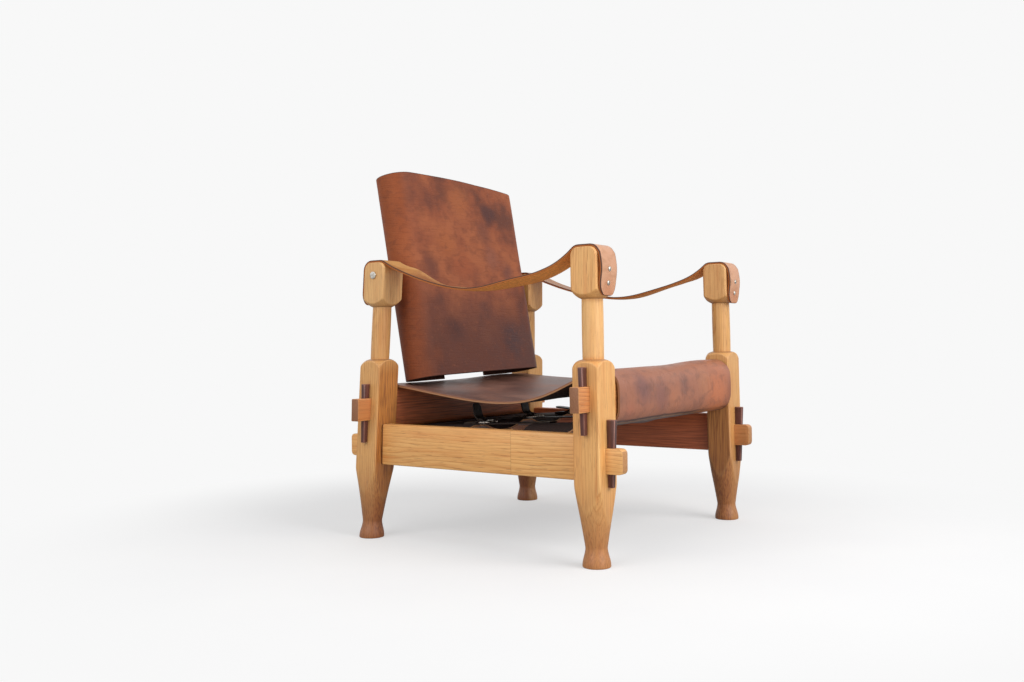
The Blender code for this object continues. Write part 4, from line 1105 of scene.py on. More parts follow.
@dataclass(frozen=True)
class TurnedPost:
    """A square post whose foot and neck are turned, with its mortises.

    At each height the section is the smaller of the chamfered stock and the lathe's circle.
    """

    pair: PostPair
    side: Side
    skew: float
    neck_lift: float = 0.0
    chamfer: float = 0.003
    crown_ease: float = 0.0015
    foot_radius: float = 0.027
    foot_ease: float = 0.002
    foot_height: float = 0.003
    ankle_radius: float = 0.021
    ankle_height: float = 0.037
    taper_top: float = 0.161
    taper_hollow: float = 0.05
    block_top: float = 0.389
    block_shoulder: float = 0.024
    neck_radius: float = 0.0203
    neck_swell: float = 0.0004
    head_bottom: float = HEAD_BOTTOM
    head_shoulder: float = 0.021
    shoulder_power: Span = (1.8, 1.3)
    blend: float = 0.0014
    mortise_reach: float = 0.045
    bore_radius: float = 0.0043
    sides: int = 176

    @property
    def label(self) -> str:
        """Pair and side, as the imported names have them."""
        return self.pair.name + "_" + self.side.label

    @property
    def neck(self) -> Span:
        """Heights at which the neck starts and ends."""
        return self.block_top + self.neck_lift, self.head_bottom + self.neck_lift

    def heights(self) -> Array:
        """Heights of the sections: close together where the lathe's profile bends."""
        top, bottom = self.neck
        stops = (
            (0.0, 6), (self.foot_ease, 3), (self.foot_height, 24), (self.ankle_height, 56),
            (self.taper_top + 0.01, 12), (top - self.block_shoulder, 34), (top + 0.002, 6),
            (bottom - 0.001, 28), (bottom + self.head_shoulder + 0.001, 6), (HEAD_TOP - HEAD_ROUND, 0),
        )
        steps = [
            np.linspace(low, high, count, endpoint=False) for (low, count), (high, _) in zip(stops, stops[1:])
        ]
        dome = HEAD_TOP - HEAD_ROUND * (1 - np.sin(np.linspace(0, math.pi / 2, 16)))
        return np.concatenate([*steps, dome])

    def lathe(self, height: Array) -> Array:
        """Radius that the lathe leaves: eased foot, cosine flare, hollow taper, rounded shoulders.

        Args:
            height: Heights of the sections.

        Returns:
            The radius at each height.
        """
        full = math.hypot(POST_WIDTH, POST_DEPTH) / 2
        top, bottom = self.neck
        rounding = 1 - np.sqrt(1 - (1 - np.clip(height / self.foot_ease, 0, 1)) ** 2)
        foot = self.foot_radius - self.foot_ease * rounding
        share = np.clip((height - self.foot_height) / (self.ankle_height - self.foot_height), 0, 1)
        radius = self.ankle_radius + (foot - self.ankle_radius) * (1 + np.cos(math.pi * share)) / 2
        rise = np.clip((height - self.ankle_height) / (self.taper_top - self.ankle_height), 0, 1.2)
        hollow = self.taper_hollow * np.sin(math.pi * np.clip(rise, 0, 1))
        radius = radius + (full - self.ankle_radius) * (rise - hollow)
        over = np.clip((height - (top - self.block_shoulder)) / self.block_shoulder, 0, 1)
        under = np.clip((bottom + self.head_shoulder - height) / self.head_shoulder, 0, 1)
        lower = height < (top + bottom) / 2
        cut, power = np.where(lower, over, under), np.where(lower, *self.shoulder_power)
        shoulder = self.neck_radius + (full - self.neck_radius) * (1 - cut**power) ** (1 / power)
        radius = np.where(cut > 0, np.minimum(radius, shoulder), radius)
        return radius + self.neck_swell * np.sin(math.pi * np.clip((height - top) / (bottom - top), 0, 1))

    def stock(self, height: Array, angle: Array) -> Array:
        """Distance from the middle to the chamfered stock, its top rounded front and rear.

        Along an angle a the flat sides are w / cos a and d / sin a away, and the chamfer
        (w + d - c) / (cos a + sin a).

        Args:
            height: Heights of the sections.
            angle: Directions round the post.

        Returns:
            The distance at each height and angle.
        """
        above = np.clip((height - (HEAD_TOP - HEAD_ROUND)) / HEAD_ROUND, 0, 1)
        depth = POST_DEPTH / 2 - HEAD_ROUND * (1 - np.sqrt(1 - above**2))
        crown = np.clip((height - (HEAD_TOP - self.crown_ease)) / self.crown_ease, 0, 1)
        width = POST_WIDTH / 2 - self.crown_ease * (1 - np.sqrt(1 - crown**2))
        cos, sin = (np.maximum(np.abs(share), 1e-6) for share in (np.cos(angle), np.sin(angle)))
        return np.minimum(np.minimum(width / cos, depth / sin), (width + depth - self.chamfer) / (cos + sin))

    def angles(self) -> Array:
        """Directions round the post, with the chamfers' own corners among them."""
        even = np.linspace(0, 2 * math.pi, self.sides, endpoint=False)
        half_x, half_y = POST_WIDTH / 2, POST_DEPTH / 2
        first = math.atan2(half_y - self.chamfer, half_x)
        second = math.atan2(half_y, half_x - self.chamfer)
        corners = np.array([first, second, math.pi - first, math.pi - second])
        corners = np.concatenate([corners, corners + math.pi])
        apart = np.abs(even[:, None] - corners[None]).min(axis=1) > 0.007
        return np.sort(np.concatenate([even[apart], corners]))

    def shape(self) -> Shape:
        """Smooth minimum of stock and lathe, min(a,b) - k h(1-h), carried up the leaning middle line.

        The edge number marks the line where both meet and the chamfered corners.
        """
        height = self.heights()[:, None]
        angle = self.angles()[None, :]
        stock, lathe = self.stock(height, angle), self.lathe(height)
        share = np.clip(0.5 + (lathe - stock) / (2 * self.blend), 0, 1)
        radius = lathe + (stock - lathe) * share - self.blend * share * (1 - share)
        x = self.side.value * self.pair.x(height) + radius * np.cos(angle)
        y = self.pair.y(height) + radius * np.sin(angle)
        crease = bell(stock, lathe, 0.0012)
        cos, sin = np.abs(np.cos(angle) + 1e-9), np.abs(np.sin(angle) + 1e-9)
        corner = np.abs(np.minimum(POST_WIDTH / 2 / cos, POST_DEPTH / 2 / sin) - stock)
        edge = np.maximum(crease * 0.8, np.clip(corner / 0.0006, 0, 1) * (stock < lathe))
        return lofted(surface(x, y, height), {"edge": edge})

    def openings(self) -> list[Mesh]:
        """Cutters for the two mortises and, in a rear post, the bolt's bore."""
        slot, rise, reach = TENON_THICKNESS / 2 + FIT, TENON_HEIGHT / 2 + FIT, self.mortise_reach
        way = self.side.value
        cross = ((reach, slot, rise), self.pair.tenon, 0.0)
        along = ((slot, reach, rise), SIDE_TENON_CENTRE, self.skew)
        cutters = []
        for half, level, skew in (cross, along):
            box = block([-size for size in half], half)
            across, ahead, height = box.points.T + np.array([[0.0], [0.0], [level]])
            x = way * self.pair.x(height) + across + way * skew * ahead
            points = np.stack([x, self.pair.y(height, ahead), height], axis=1)
            cutters.append(mesh_from("mortise", Shape(points, box.faces)))
        if not self.pair.is_front:
            bore = turned(np.array([[self.bore_radius, -0.05], [self.bore_radius, 0.05]]), 24)
            place = (way * self.pair.x(PIVOT_HEIGHT), self.pair.y(PIVOT_HEIGHT), PIVOT_HEIGHT)
            cutters.append(mesh_from("bore", bore.turned_by(Matrix.Translation(place))))
        return cutters

    def marks(self) -> dict[str, object]:
        """Each post's marks: painted shade overall and on one side, a paler stretch partly of painted light,
        and feet darker from dirt and painted shade.
        """
        # Left posts, on the far side: painted shade on their inner faces and darkened overall.
        if self.side is Side.LEFT:
            low, aged = (0.3, (217, 149, 83)) if self.pair.is_front else (0.27, (132, 80, 48))
            inner = {"aged_side": ("X", -1.0), "aged": aged, "aged_below": low}
            return {"tint": 0.92, "foot_shade": 0.62, "foot_reach": (0.06, 0.25), **inner}
        if self.pair.is_front:
            return {"tint": 0.985, "foot_shade": 0.66, "pale": (self.block_top, self.head_bottom - 0.01)}
        # Rear right post: painted shade on its front faces below 0.4 m, paler head partly painted light.
        front = {"aged_side": ("Y", -1.0), "aged": (216, 144, 72), "aged_below": 0.4}
        return {"tint": 0.92, "foot_shade": 0.85, "pale": (self.head_bottom - 0.006, HEAD_TOP), **front}

    def build(self, shop: Workshop) -> None:
        """Turn the post, cut its openings and put it in place.

        Args:
            shop: Places the finished mesh.
        """
        name, way = "turned_post_" + self.label, self.side.value
        mesh = bored(mesh_from(name, self.shape()), self.openings())
        pith = (way * POST_X + 0.07 * way, self.pair.foot_y + 0.05 * self.pair.out, 0.0)
        finish = OakFinish("oak_" + self.label, Grain.ALONG_Z, pith, **self.marks())
        shop.place(name, mesh, finish, "oak", "post_" + self.label, sharp_deg=50.0)


def bored(mesh: Mesh, cutters: Sequence[Mesh]) -> Mesh:
    """A mesh with each cutter taken out of it.

    Args:
        mesh: Closed mesh.
        cutters: Closed meshes of what is taken out.

    Returns:
        The new mesh.
    """
    blank = put_in("blank", mesh)
    tools = [put_in("cutter", cutter) for cutter in cutters]
    for tool in tools:
        change = blank.modifiers.new("opening", "BOOLEAN")
        change.operation, change.solver, change.object = "DIFFERENCE", "EXACT", tool
    graph = bpy.context.evaluated_depsgraph_get()
    cut = bpy.data.meshes.new_from_object(blank.evaluated_get(graph))
    for item in (blank, *tools):
        bpy.data.objects.remove(item)
    return cut


# Rails, wedges and the wood inside the back


@dataclass(frozen=True)
class Joinery:
    """Rails, wedges and the back's frame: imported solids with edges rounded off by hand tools."""

    shop: Workshop
    rail_ease: float = 0.0011
    wedge_ease: float = 0.0012

    def soften(self, node: str, finish: OakFinish | WedgeFinish, body: str = Body.FRAME.value) -> None:
        """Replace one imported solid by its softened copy."""
        if isinstance(finish, WedgeFinish):
            prefix, slot, width = "worn_", "dark_wood", self.wedge_ease
        else:
            prefix, slot, width = "eased_", "oak", self.rail_ease
        self.shop.place(prefix + node, softened(self.shop.nodes[node], width), finish, slot, node, body, 38.0)

    def build_rails(self) -> None:
        """Both side rails and both cross rails."""
        # The right rail gets a painted shadow line at its shoulder.
        right = {"board_joint": -0.1037, "shoulder": (0.2498, 0.04)}
        # The far left rail's darker palette is painted shade.
        left = {"light": (208, 150, 92), "middle": (186, 124, 74), "aged_turn": (-0.6, -0.3)}
        # Each side rail carries painted shade on its inner face; on the left rail it reaches most faces.
        for side, own in ((Side.RIGHT, right), (Side.LEFT, left)):
            self.soften("side_rail_" + side.label, OakFinish(
                "oak_side_rail_" + side.label, Grain.ALONG_Y, (side.value * 0.4, 0.0, 0.13),
                aged_side=("X", -side.value), aged_reach=0.27, **own,
            ))
        # Cross rails: painted shade on their front faces, in the colour given last in each row.
        front = ("front_rail", (0.0, -0.16, 0.22), (192, 102, 64))
        rear = ("rear_rail", (0.0, 0.38, 0.2), (206, 118, 78))
        for name, pith, aged in (front, rear):
            self.soften(name, OakFinish(
                "oak_" + name, Grain.ALONG_X, pith, light=(216, 152, 90), middle=(198, 128, 74),
                line=(146, 80, 42), end=(136, 94, 68), aged_side=("Y", -1.0), aged=aged, aged_reach=0.258,
            ))

    def build_wedges(self) -> None:
        """The eight wedges, each on its own body."""
        for rail in ("front_rail", "rear_rail", "side_rail_front", "side_rail_rear"):
            for side in Side:
                node = "wedge_" + rail + "_" + side.label
                self.soften(node, WedgeFinish(), node + "_body")

    def build_back_frame(self) -> None:
        """Stiles and cross rails inside the leather back."""
        for side in Side:
            # The stiles' near-black palette is painted shade: they show only from below, under the back.
            self.soften("back_stile_" + side.label, OakFinish(
                "oak_stile_" + side.label, Grain.ALONG_Z, (side.value * 0.3, 0.36, 0.0), light=(110, 72, 46),
                middle=(92, 58, 38), line=(66, 40, 28), end=(44, 28, 20), warm=(84, 48, 32),
            ), Body.BACKREST.value)
        for level in ("lower", "upper"):
            finish = OakFinish("oak_back_rail_" + level, Grain.ALONG_X, (0.0, 0.3, 0.5))
            self.soften("back_cross_rail_" + level, finish, Body.BACKREST.value)


# Leather


def sagging(
    start: Array, low: Array, end: Array, leaves_deg: Span, shares: Sequence[float]
) -> Array:
    """Two cubic curves that leave both ends at given angles and meet level at the lowest point.

    Args:
        start: Point where the hide leaves the first bar.
        low: Lowest point.
        end: Point where it meets the second bar.
        leaves_deg: Directions in which it leaves the first bar and the second.
        shares: Lengths of the curves' four handles, as shares of the level run to the low point.

    Returns:
        The points between both ends.
    """
    first, last = low[0] - start[0], end[0] - low[0]
    leave = toward(start, abs(first) * shares[0], leaves_deg[0])
    meet = toward(end, abs(last) * shares[3], leaves_deg[1])
    down = curve(start, leave, low - (first * shares[1], 0), low)
    rise = curve(low, low + (last * shares[2], 0), meet, end)
    return np.concatenate([down[1:-1], rise[:-1]])


@dataclass(frozen=True)
class SeatSling:
    """Seat hide: a loop over both rails that sags between them and twists up on its left side."""

    stand: Stand
    side_gap: float = 0.0033
    low_height: float = 0.3
    low_shift: float = 0.034
    rear_leave_deg: float = 7.0
    front_leave_deg: float = 18.0
    sag_shares: tuple[float, float, float, float] = (0.36, 0.3, 0.5, 0.37)
    flap_gap: float = 0.145
    gap_shift: float = 0.002
    twist_lift: float = 0.0165
    twist_length: float = 0.19
    edge_lift: float = 0.006
    dip: float = 0.004
    roll_bulge: float = 0.004
    ripple: float = 0.0011
    flap_top: float = 0.268
    flap_sag: float = 0.016
    free_half: float = 0.072
    edge_droop: float = 0.022
    droop_start: float = 0.203
    droop_reach: float = 0.062

    def wraps(self) -> tuple[Callable[..., Array], Callable[..., Array]]:
        """Arcs of the hide round the front rail and round the rear rail."""
        return self.stand.front.wrap(FRONT_RAIL), self.stand.rear.wrap(REAR_RAIL)

    def flap_line(self) -> tuple[Array, float]:
        """Middle of the gap between the flaps, and the slope of the line that both lie on."""
        front, rear = self.wraps()
        along = rear(0, 270, 270, 2)[0] - front(0, 270, 270, 2)[0]
        slope = math.atan2(along[1], along[0])
        over_front = front(0, 180, 270 + math.degrees(slope), 3)[-1]
        over_rear = rear(0, 270 + math.degrees(slope), 270, 2)[0]
        share = (self.stand.middle_y + self.gap_shift - over_front[0]) / (over_rear[0] - over_front[0])
        return over_front + (over_rear - over_front) * share, slope

    def path(self) -> Array:
        """Middle line of the hide in Y and Z: rear flap, rear rail, sag, front roll, front flap."""
        front, rear = self.wraps()
        under = 270 + math.degrees(self.flap_line()[1])
        over_rear = np.concatenate([
            rear(0, under, 270, 3), rear(1, 270, 360), rear(2, 0, 90), rear(3, 90, 90 + self.rear_leave_deg, 4)
        ])
        over_front = np.concatenate([
            front(2, 90 - self.front_leave_deg, 90, 6), front(3, 90, 180, 24), front(0, 180, under, 24)
        ])
        low = np.array([self.stand.middle_y - self.low_shift, self.low_height])
        leaves = (180 + self.rear_leave_deg, -self.front_leave_deg)
        sag = sagging(over_rear[-1], low, over_front[0], leaves, self.sag_shares)
        start, run = over_front[-1], over_rear[0] - over_front[-1]
        ends = self.stand.middle_y + self.gap_shift + np.array([[1], [-1]]) * self.flap_gap / 2
        flaps = start + run * (ends - start[0]) / run[0]
        return np.concatenate([flaps[:1], over_rear, sag, over_front, flaps[1:]])

    def lift(self, x: Array, y: Array, z: Array) -> Array:
        """How much higher the hide lies than the even loop.

        The upper stretch's left edge is lifted by a bell curve in y, both rails' left thirds by a
        smooth step in x, and the middle dips by a parabola across. The flaps sag by a parabola
        between the belts, and their right edge droops by a smooth step in x.

        Args:
            x: Places across the hide.
            y: Places along it.
            z: Heights of the even loop.

        Returns:
            The rise at each point.
        """
        half = POST_X - POST_WIDTH / 2
        inner = y - self.stand.middle_y
        left = smoothstep((x + half) / (2 * half))
        lifted = self.twist_lift * left * bell(inner, -0.01, self.twist_length)
        lifted += self.edge_lift * smoothstep((x + 0.03) / 0.22)
        lifted -= self.dip * np.clip(1 - (x / half) ** 2, 0, 1) * bell(inner, 0.0, 0.15)
        lifted += self.ripple * np.sin(x * 31 + y * 9) * bell(inner, 0.0, 0.2)
        upper = smoothstep((z - self.flap_top) / 0.024)
        between = smoothstep((inner + 0.235) / 0.06) * smoothstep((0.225 - inner) / 0.06)
        free = self.flap_sag * np.clip(1 - ((np.abs(x) - SEAT_BELT_X / 2) / self.free_half) ** 2, 0, 1)
        free += self.edge_droop * smoothstep((np.abs(x) - self.droop_start) / self.droop_reach) * (x < 0)
        return lifted * upper - free * between * (z < self.flap_top)

    def middle(self) -> Array:
        """The middle surface: the path carried across between the leaning posts, then lifted."""
        path = evenly(self.path(), spacing=0.0065, ends=0.004)
        y, z = path[:, :1], path[:, 1:]
        lean = self.stand.inward_share(y, self.low_height)
        half = POST_X - POST_WIDTH / 2 - self.side_gap - lean * z - HIDE_BULGE
        x = half * clustered(44, (0.0, 0.004, 0.01, 0.022))[None, :]
        front = smoothstep((self.stand.front.y(0.3) - y) / 0.02)
        bulge = self.roll_bulge * np.clip(1 - ((z - 0.313) / 0.05) ** 2, 0, 1) * front
        return surface(x, y - bulge, z + self.lift(x, y, z))

    def build(self, shop: Workshop, finish: HideFinish) -> None:
        middle = self.middle()
        mesh = mesh_from("seat_sling", thick_sheet(middle, HIDE_THICKNESS))
        piece = shop.place("seat_sling", mesh, finish, "seat_leather", "seat_leather")
        flat = (float(np.ptp(middle[..., 0])), float(lengths_along(self.path())[-1]))


@dataclass(frozen=True)
class LeatherBack:
    """Back hide: a loop round two stiles, flat and slightly crowned in front, on a tilted pivot."""

    stand: Stand
    half_width: float = BACK_HALF_WIDTH
    round_radius: float = 0.046
    crown: float = 0.004
    below: float = 0.2265
    above: float = 0.235
    lower_shift: float = 0.0025
    lower_slope: float = 0.0196
    upper_shift: float = 0.001
    upper_slope: float = 0.022
    upper_fall: float = 0.075
    tilt_deg: float = 10.2
    ahead: float = 0.0032
    flap_gap: float = 0.158
    gap_shift: float = 0.013

    @property
    def pivot(self) -> Matrix:
        """Place and tilt of the back's own coordinates."""
        middle = Matrix.Translation((0, self.stand.rear.y(PIVOT_HEIGHT), PIVOT_HEIGHT))
        return middle @ Matrix.Rotation(-math.radians(self.tilt_deg), 4, "X")

    def path(self) -> Array:
        """Middle line in local X and Y: flap, half circle, crowned front, half circle, flap."""
        radius = self.round_radius - HIDE_THICKNESS / 2
        centre = self.half_width - self.round_radius
        near, far = ([[self.gap_shift + way * self.flap_gap / 2, self.ahead + radius]] for way in (-1, 1))
        share = np.linspace(-1, 1, 41)[1:-1]
        front = np.stack([centre * share, self.ahead - radius - self.crown * (1 - share**2)], axis=1)
        first = arc((-centre, self.ahead), radius, 90, 270, 40)
        last = arc((centre, self.ahead), radius, -90, 90, 40)
        return np.concatenate([near, first, front, last, far])

    def middle(self) -> Array:
        """The middle surface: the path carried up the back, its upper cut a parabola, with low waves."""
        path = evenly(self.path(), spacing=0.0055, ends=0.004)
        share = (clustered(64, (0.0, 0.004, 0.01, 0.02)) + 1) / 2
        across = path[:, :1]
        low = HIDE_BULGE - self.below - self.lower_shift + self.lower_slope * across
        high = self.above - HIDE_BULGE + self.upper_shift
        high = high - self.upper_slope * across - self.upper_fall * across**2
        height = low + (high - low) * share[None, :]
        wave = 0.0007 * np.sin(across * 22 + height * 9) + 0.0006 * np.sin(height * 24 - across * 7 + 1.3)
        y = path[:, 1:]
        return surface(across, y - np.where(y < self.ahead, np.abs(wave) * 1.2, 0.0), height)

    def build(self, shop: Workshop, finish: HideFinish) -> None:
        mesh = mesh_from("back_cover", thick_sheet(self.middle(), HIDE_THICKNESS).turned_by(self.pivot))
        piece = shop.place("back_cover", mesh, finish, "back_leather", "back_leather", Body.BACKREST.value)
        length = float(lengths_along(self.path())[-1])


def tongue_bulge(z: Array, most: float = 0.0045, centre: float = 0.56, reach: float = 0.026) -> Array:
    """How far a strap's front tongue stands off its head at a height: a bell curve."""
    return most * bell(z, centre, reach)


@dataclass(frozen=True)
class EdgeLift:
    """A bell-shaped rise along a strap's edge: 1 is the edge towards +X, -1 the other."""

    edge: int
    rise: float
    centre: float
    reach: float

    def at(self, y: Array, across: Array) -> Array:
        """The rise at places along the strap and shares across it."""
        return self.rise * (1 + self.edge * across) / 2 * bell(y, self.centre, self.reach)


@dataclass(frozen=True)
class ArmStrap:
    """A thick strap over a front and a rear head, with rounded tongues screwed to their faces."""

    stand: Stand
    side: Side
    lifts: tuple[EdgeLift, ...]
    width: float = 0.058
    low_height: float = 0.5255
    low_shift: float = 0.045
    leave_deg: Span = (42.0, 30.0)
    sag_shares: tuple[float, float, float, float] = (0.2, 0.5, 0.36, 0.22)
    end_height: float = 0.508
    tongue: float = 0.026
    tip_share: float = 0.34

    def path(self) -> Array:
        """Middle line in Y and Z: front tongue, front head, sag, rear head, rear tongue."""
        front_leave, rear_leave = self.leave_deg
        front_head, rear_head = (pair.wrap(POST_HEAD) for pair in self.stand.pairs)
        front = np.concatenate([front_head(3, 180, 90, 20), front_head(2, 90, 90 - front_leave, 10)])
        rear = np.concatenate([rear_head(3, 90 + rear_leave, 90, 10), rear_head(2, 90, 0, 20)])
        low = np.array([self.stand.middle_y - self.low_shift, self.low_height])
        sag = sagging(front[-1], low, rear[0], (-front_leave, 180 + rear_leave), self.sag_shares)
        out = POST_DEPTH / 2 + (FIT + HIDE_THICKNESS / 2)
        level = self.end_height
        first, last = ([[pair.y(level, pair.out * out), level]] for pair in self.stand.pairs)
        return np.concatenate([first, front, sag, rear, last])

    def middle(self) -> Array:
        """The middle surface: half widths follow an ellipse at the tongues, and bells twist the sag."""
        path = evenly(self.path(), spacing=0.005, ends=0.004)
        along = lengths_along(path)
        from_tip = np.minimum(along, along[-1] - along)
        half = tongue(self.width, self.tip_share, from_tip, self.tongue) - HIDE_BULGE
        y, z = path[:, :1], path[:, 1:]
        across = clustered(13, (0.0, 0.03, 0.08, 0.16))[None, :]
        lean = self.stand.inward_share(y, HEAD_TOP)
        x = self.side.value * (POST_X - lean * z) + half[:, None] * across
        share = np.clip((y - path[:, 0].min()) / np.ptp(path[:, 0]), 0, 1)
        span = smoothstep((share - 0.08) / 0.14) * smoothstep((0.92 - share) / 0.14)
        rise = sum(lift.at(y, across) for lift in self.lifts) * span
        bulge = (y < self.stand.front.y(0.55, -POST_DEPTH / 2)) * tongue_bulge(z)
        cup = 0.0011 * across**2 * span
        return surface(x, y - bulge, z + rise + cup)

    def build(self, shop: Workshop, finish: HideFinish) -> None:
        node = "arm_strap_" + self.side.label
        mesh = mesh_from(node, thick_sheet(self.middle()[::-1], HIDE_THICKNESS))
        piece = shop.place("saddle_" + node, mesh, finish, "strap_leather", node)
        length = float(lengths_along(self.path())[-1])
        posts = ["post_front_" + self.side.label, "post_rear_" + self.side.label]


# Belts, buckles and small metal


@dataclass(frozen=True)
class BeltSet:
    """A belt with its buckle, prong and folded chape, drawn across the gap between two flaps.

    Local frame: u runs from the belt's flap to the buckle's flap, v across the belt and n away
    from the flaps; u = 0 is the middle of the gap and n = 0 the flaps' face.
    """

    kind: str
    level: str
    body: str
    place: Matrix
    gap: float
    upright_tail: bool
    droop: float = 0.0
    width: float = 0.028
    thickness: float = 0.003
    lap: float = 0.045
    tip: float = 0.014
    tip_share: float = 0.35
    chape_thickness: float = 0.0025
    chape_lap: float = 0.034
    close_share: float = 0.2
    bar: float = 0.0035
    length: float = 0.03
    side_gap: float = 0.0015
    corner: float = 0.004
    ahead: float = 0.008
    ease: float = 0.0007
    prong_radius: float = 0.0012
    proud: float = 0.002
    tail_bend: float = 0.012
    tail_length: float = 0.026
    tail_turn_deg: float = 78.0
    flat_tail: float = 0.07
    slot_half: float = 0.0022
    near_edge: tuple[float, ...] = (0.0, 0.05, 0.12, 0.24)
    stitch_inset: float = 0.0028
    stitch_pitch: float = 0.0042
    stitch_radius: float = 0.00042
    stitch_half: float = 0.00155
    stitch_rise: float = 0.00025
    stitch_bend: float = 0.00055

    @property
    def rear_bar(self) -> float:
        """Place of the bar that the chape holds."""
        return self.gap / 2 - self.ahead

    @property
    def front_bar(self) -> float:
        """Place of the bar that the prong rests on."""
        return self.rear_bar - (self.length - self.bar)

    @property
    def frame_level(self) -> float:
        """Height of the buckle's middle over the flaps."""
        return FIT + self.thickness + FIT + self.bar / 2

    @property
    def round_bar(self) -> float:
        """Clear radius round the bar, whose edges are eased."""
        return math.hypot(self.bar / 2, self.bar / 2 - self.ease) + FIT

    @property
    def fold(self) -> float:
        """Radius of the chape's fold round the bar."""
        return self.round_bar + self.chape_thickness / 2

    @property
    def prong_ring(self) -> float:
        """Radius of the prong's eye round the bar."""
        return self.round_bar + self.prong_radius

    @property
    def over_level(self) -> float:
        """Height of the belt where it crosses the rear bar."""
        over = max(self.fold + self.chape_thickness / 2, self.prong_ring + self.prong_radius)
        return self.frame_level + over + FIT + self.thickness / 2

    def name(self, part: str) -> str:
        """Packed name of one of the four parts."""
        return self.kind + "_" + part + "_" + self.level

    def belt_path(self) -> Array:
        """The belt's middle line in U and N: lap, gap, rise over the buckle, tail."""
        half = self.gap / 2
        flat = FIT + self.thickness / 2
        under = np.array([self.front_bar + self.bar / 2, flat])
        over = np.array([self.rear_bar, self.over_level])
        reach = (over[0] - under[0]) / 2
        rise = curve(under, under + (reach, 0), over - (reach, 0), over, count=24)
        if self.upright_tail:
            bend = arc(over + (0, self.tail_bend), self.tail_bend, -90, -90 + self.tail_turn_deg, 16)
            tail = np.concatenate([bend[1:], [toward(bend[-1], self.tail_length, self.tail_turn_deg)]])
        else:
            rest = self.frame_level + self.bar / 2 + self.chape_thickness + FIT + self.thickness / 2
            end = np.array([self.rear_bar + self.flat_tail, rest])
            reach = self.flat_tail / 3
            tail = curve(over, over + (reach, 0), end - (reach, 0), end, count=24)[1:]
        return np.concatenate([[[-half - self.lap, flat], [-half, flat]], rise, tail])

    def belt_middle(self) -> Array:
        """The belt's middle surface, with its pointed and slightly drooping tail."""
        path = evenly(self.belt_path(), spacing=0.0026, ends=0.002)
        along = lengths_along(path)
        half = tongue(self.width, self.tip_share, along[-1] - along, self.tip) - BELT_BULGE
        sideways = 0.0
        if not self.upright_tail:
            sideways = self.droop * np.clip((path[:, :1] - self.rear_bar) / self.flat_tail, 0, None) ** 2
        across = half[:, None] * clustered(9, self.near_edge)[None, :]
        return surface(path[:, :1], across - sideways, path[:, 1:])

    def chape_middle(self) -> Array:
        """The chape's middle surface: two layers joined by a half circle round the bar."""
        low = FIT + self.chape_thickness / 2
        high = low + self.chape_thickness + FIT
        end = self.gap / 2 + self.chape_lap
        fold = arc((self.rear_bar, self.frame_level), self.fold, 270, 90, 24)
        close = [self.gap / 2 + self.chape_lap * self.close_share, high]
        path = np.concatenate([[[end, low], [self.gap / 2 - self.ahead / 2, low]], fold, [close, [end, high]]])
        path = evenly(path, spacing=0.0018, ends=0.0015)
        across = (self.width / 2 - BELT_BULGE) * clustered(9, self.near_edge)[None, :]
        return surface(path[:, :1], across, path[:, 1:])

    def ring(self) -> Shape:
        """The buckle: a round bar led round a rectangle with rounded corners."""
        high = self.width / 2 + self.side_gap + self.bar / 2 - self.corner
        far, near = self.rear_bar - self.corner, self.front_bar + self.corner
        centres = ((far, high), (near, high), (near, -high), (far, -high))
        flat = np.concatenate([
            arc(centre, self.corner, 90 * turn, 90 * turn + 90, 9) for turn, centre in enumerate(centres)
        ])
        path = evenly(np.concatenate([flat, flat[:1]]), 0.0018)[:-1]
        path = np.column_stack([path, np.full(len(path), self.frame_level)])
        return tube(path, np.full(len(path), self.bar / 2), 16, ring=True)

    def prong(self) -> Shape:
        """The prong: an eye round the rear bar and a pin that thins towards its end."""
        eye = arc((self.rear_bar, self.frame_level), self.prong_ring, 170, 450, 28)
        tip = np.array([self.front_bar - self.proud, self.frame_level + self.prong_ring - 0.0001])
        path = evenly(np.concatenate([eye, [tip]]), 0.0009)
        left = lengths_along(path)[-1] - lengths_along(path)
        radii = self.prong_radius * (0.55 + 0.45 * np.clip(left / 0.006, 0, 1) ** 0.5)
        path = np.column_stack([path[:, 0], np.zeros(len(path)), path[:, 1]])
        return tube(path, radii, 12, level=(0, 1, 0))

    def seam(self, start: float, end: float, top: float) -> Shape:
        """Stitches round three sides of a lap: short pins 3 mm long, bent down at both ends.

        Args:
            start: Place along the belt where the seam starts.
            end: Place of the lap's end.
            top: Height of the leather's face.

        Returns:
            All the stitches in one shape.
        """
        side, way = self.width / 2 - self.stitch_inset, math.copysign(1.0, end - start)
        far = end - way * self.stitch_inset
        count, cross = int(abs(far - start) / self.stitch_pitch), int(2 * side / self.stitch_pitch)
        us = start + way * self.stitch_pitch * (np.arange(count) + 0.5)
        vs = (np.arange(cross) + 0.5) * (2 * side / cross) - side
        rows = [np.column_stack([us, np.full(count, edge), np.zeros(count)]) for edge in (-side, side)]
        places = np.concatenate([*rows, np.column_stack([np.full(cross, far), vs, np.ones(cross)])])
        sections, sides = 7, 6
        share = np.linspace(-1, 1, sections)
        angle = np.linspace(0, 2 * math.pi, sides, endpoint=False)
        radius = self.stitch_radius * (1 - 0.55 * share**4)
        length = np.broadcast_to((share * self.stitch_half)[:, None], (sections, sides))
        off = radius[:, None] * np.cos(angle)
        rise = radius[:, None] * np.sin(angle) + (self.stitch_rise - self.stitch_bend * share**4)[:, None]
        turned_round = places[:, 2][:, None, None] > 0.5
        u = places[:, 0][:, None, None] + np.where(turned_round, off, length)
        v = places[:, 1][:, None, None] + np.where(turned_round, length, off)
        points = surface(u, v, top + rise[None]).reshape(-1, 3)
        index = np.arange(len(points)).reshape(-1, sections, sides)
        faces = np.concatenate([quads(pin) for pin in index]).tolist()
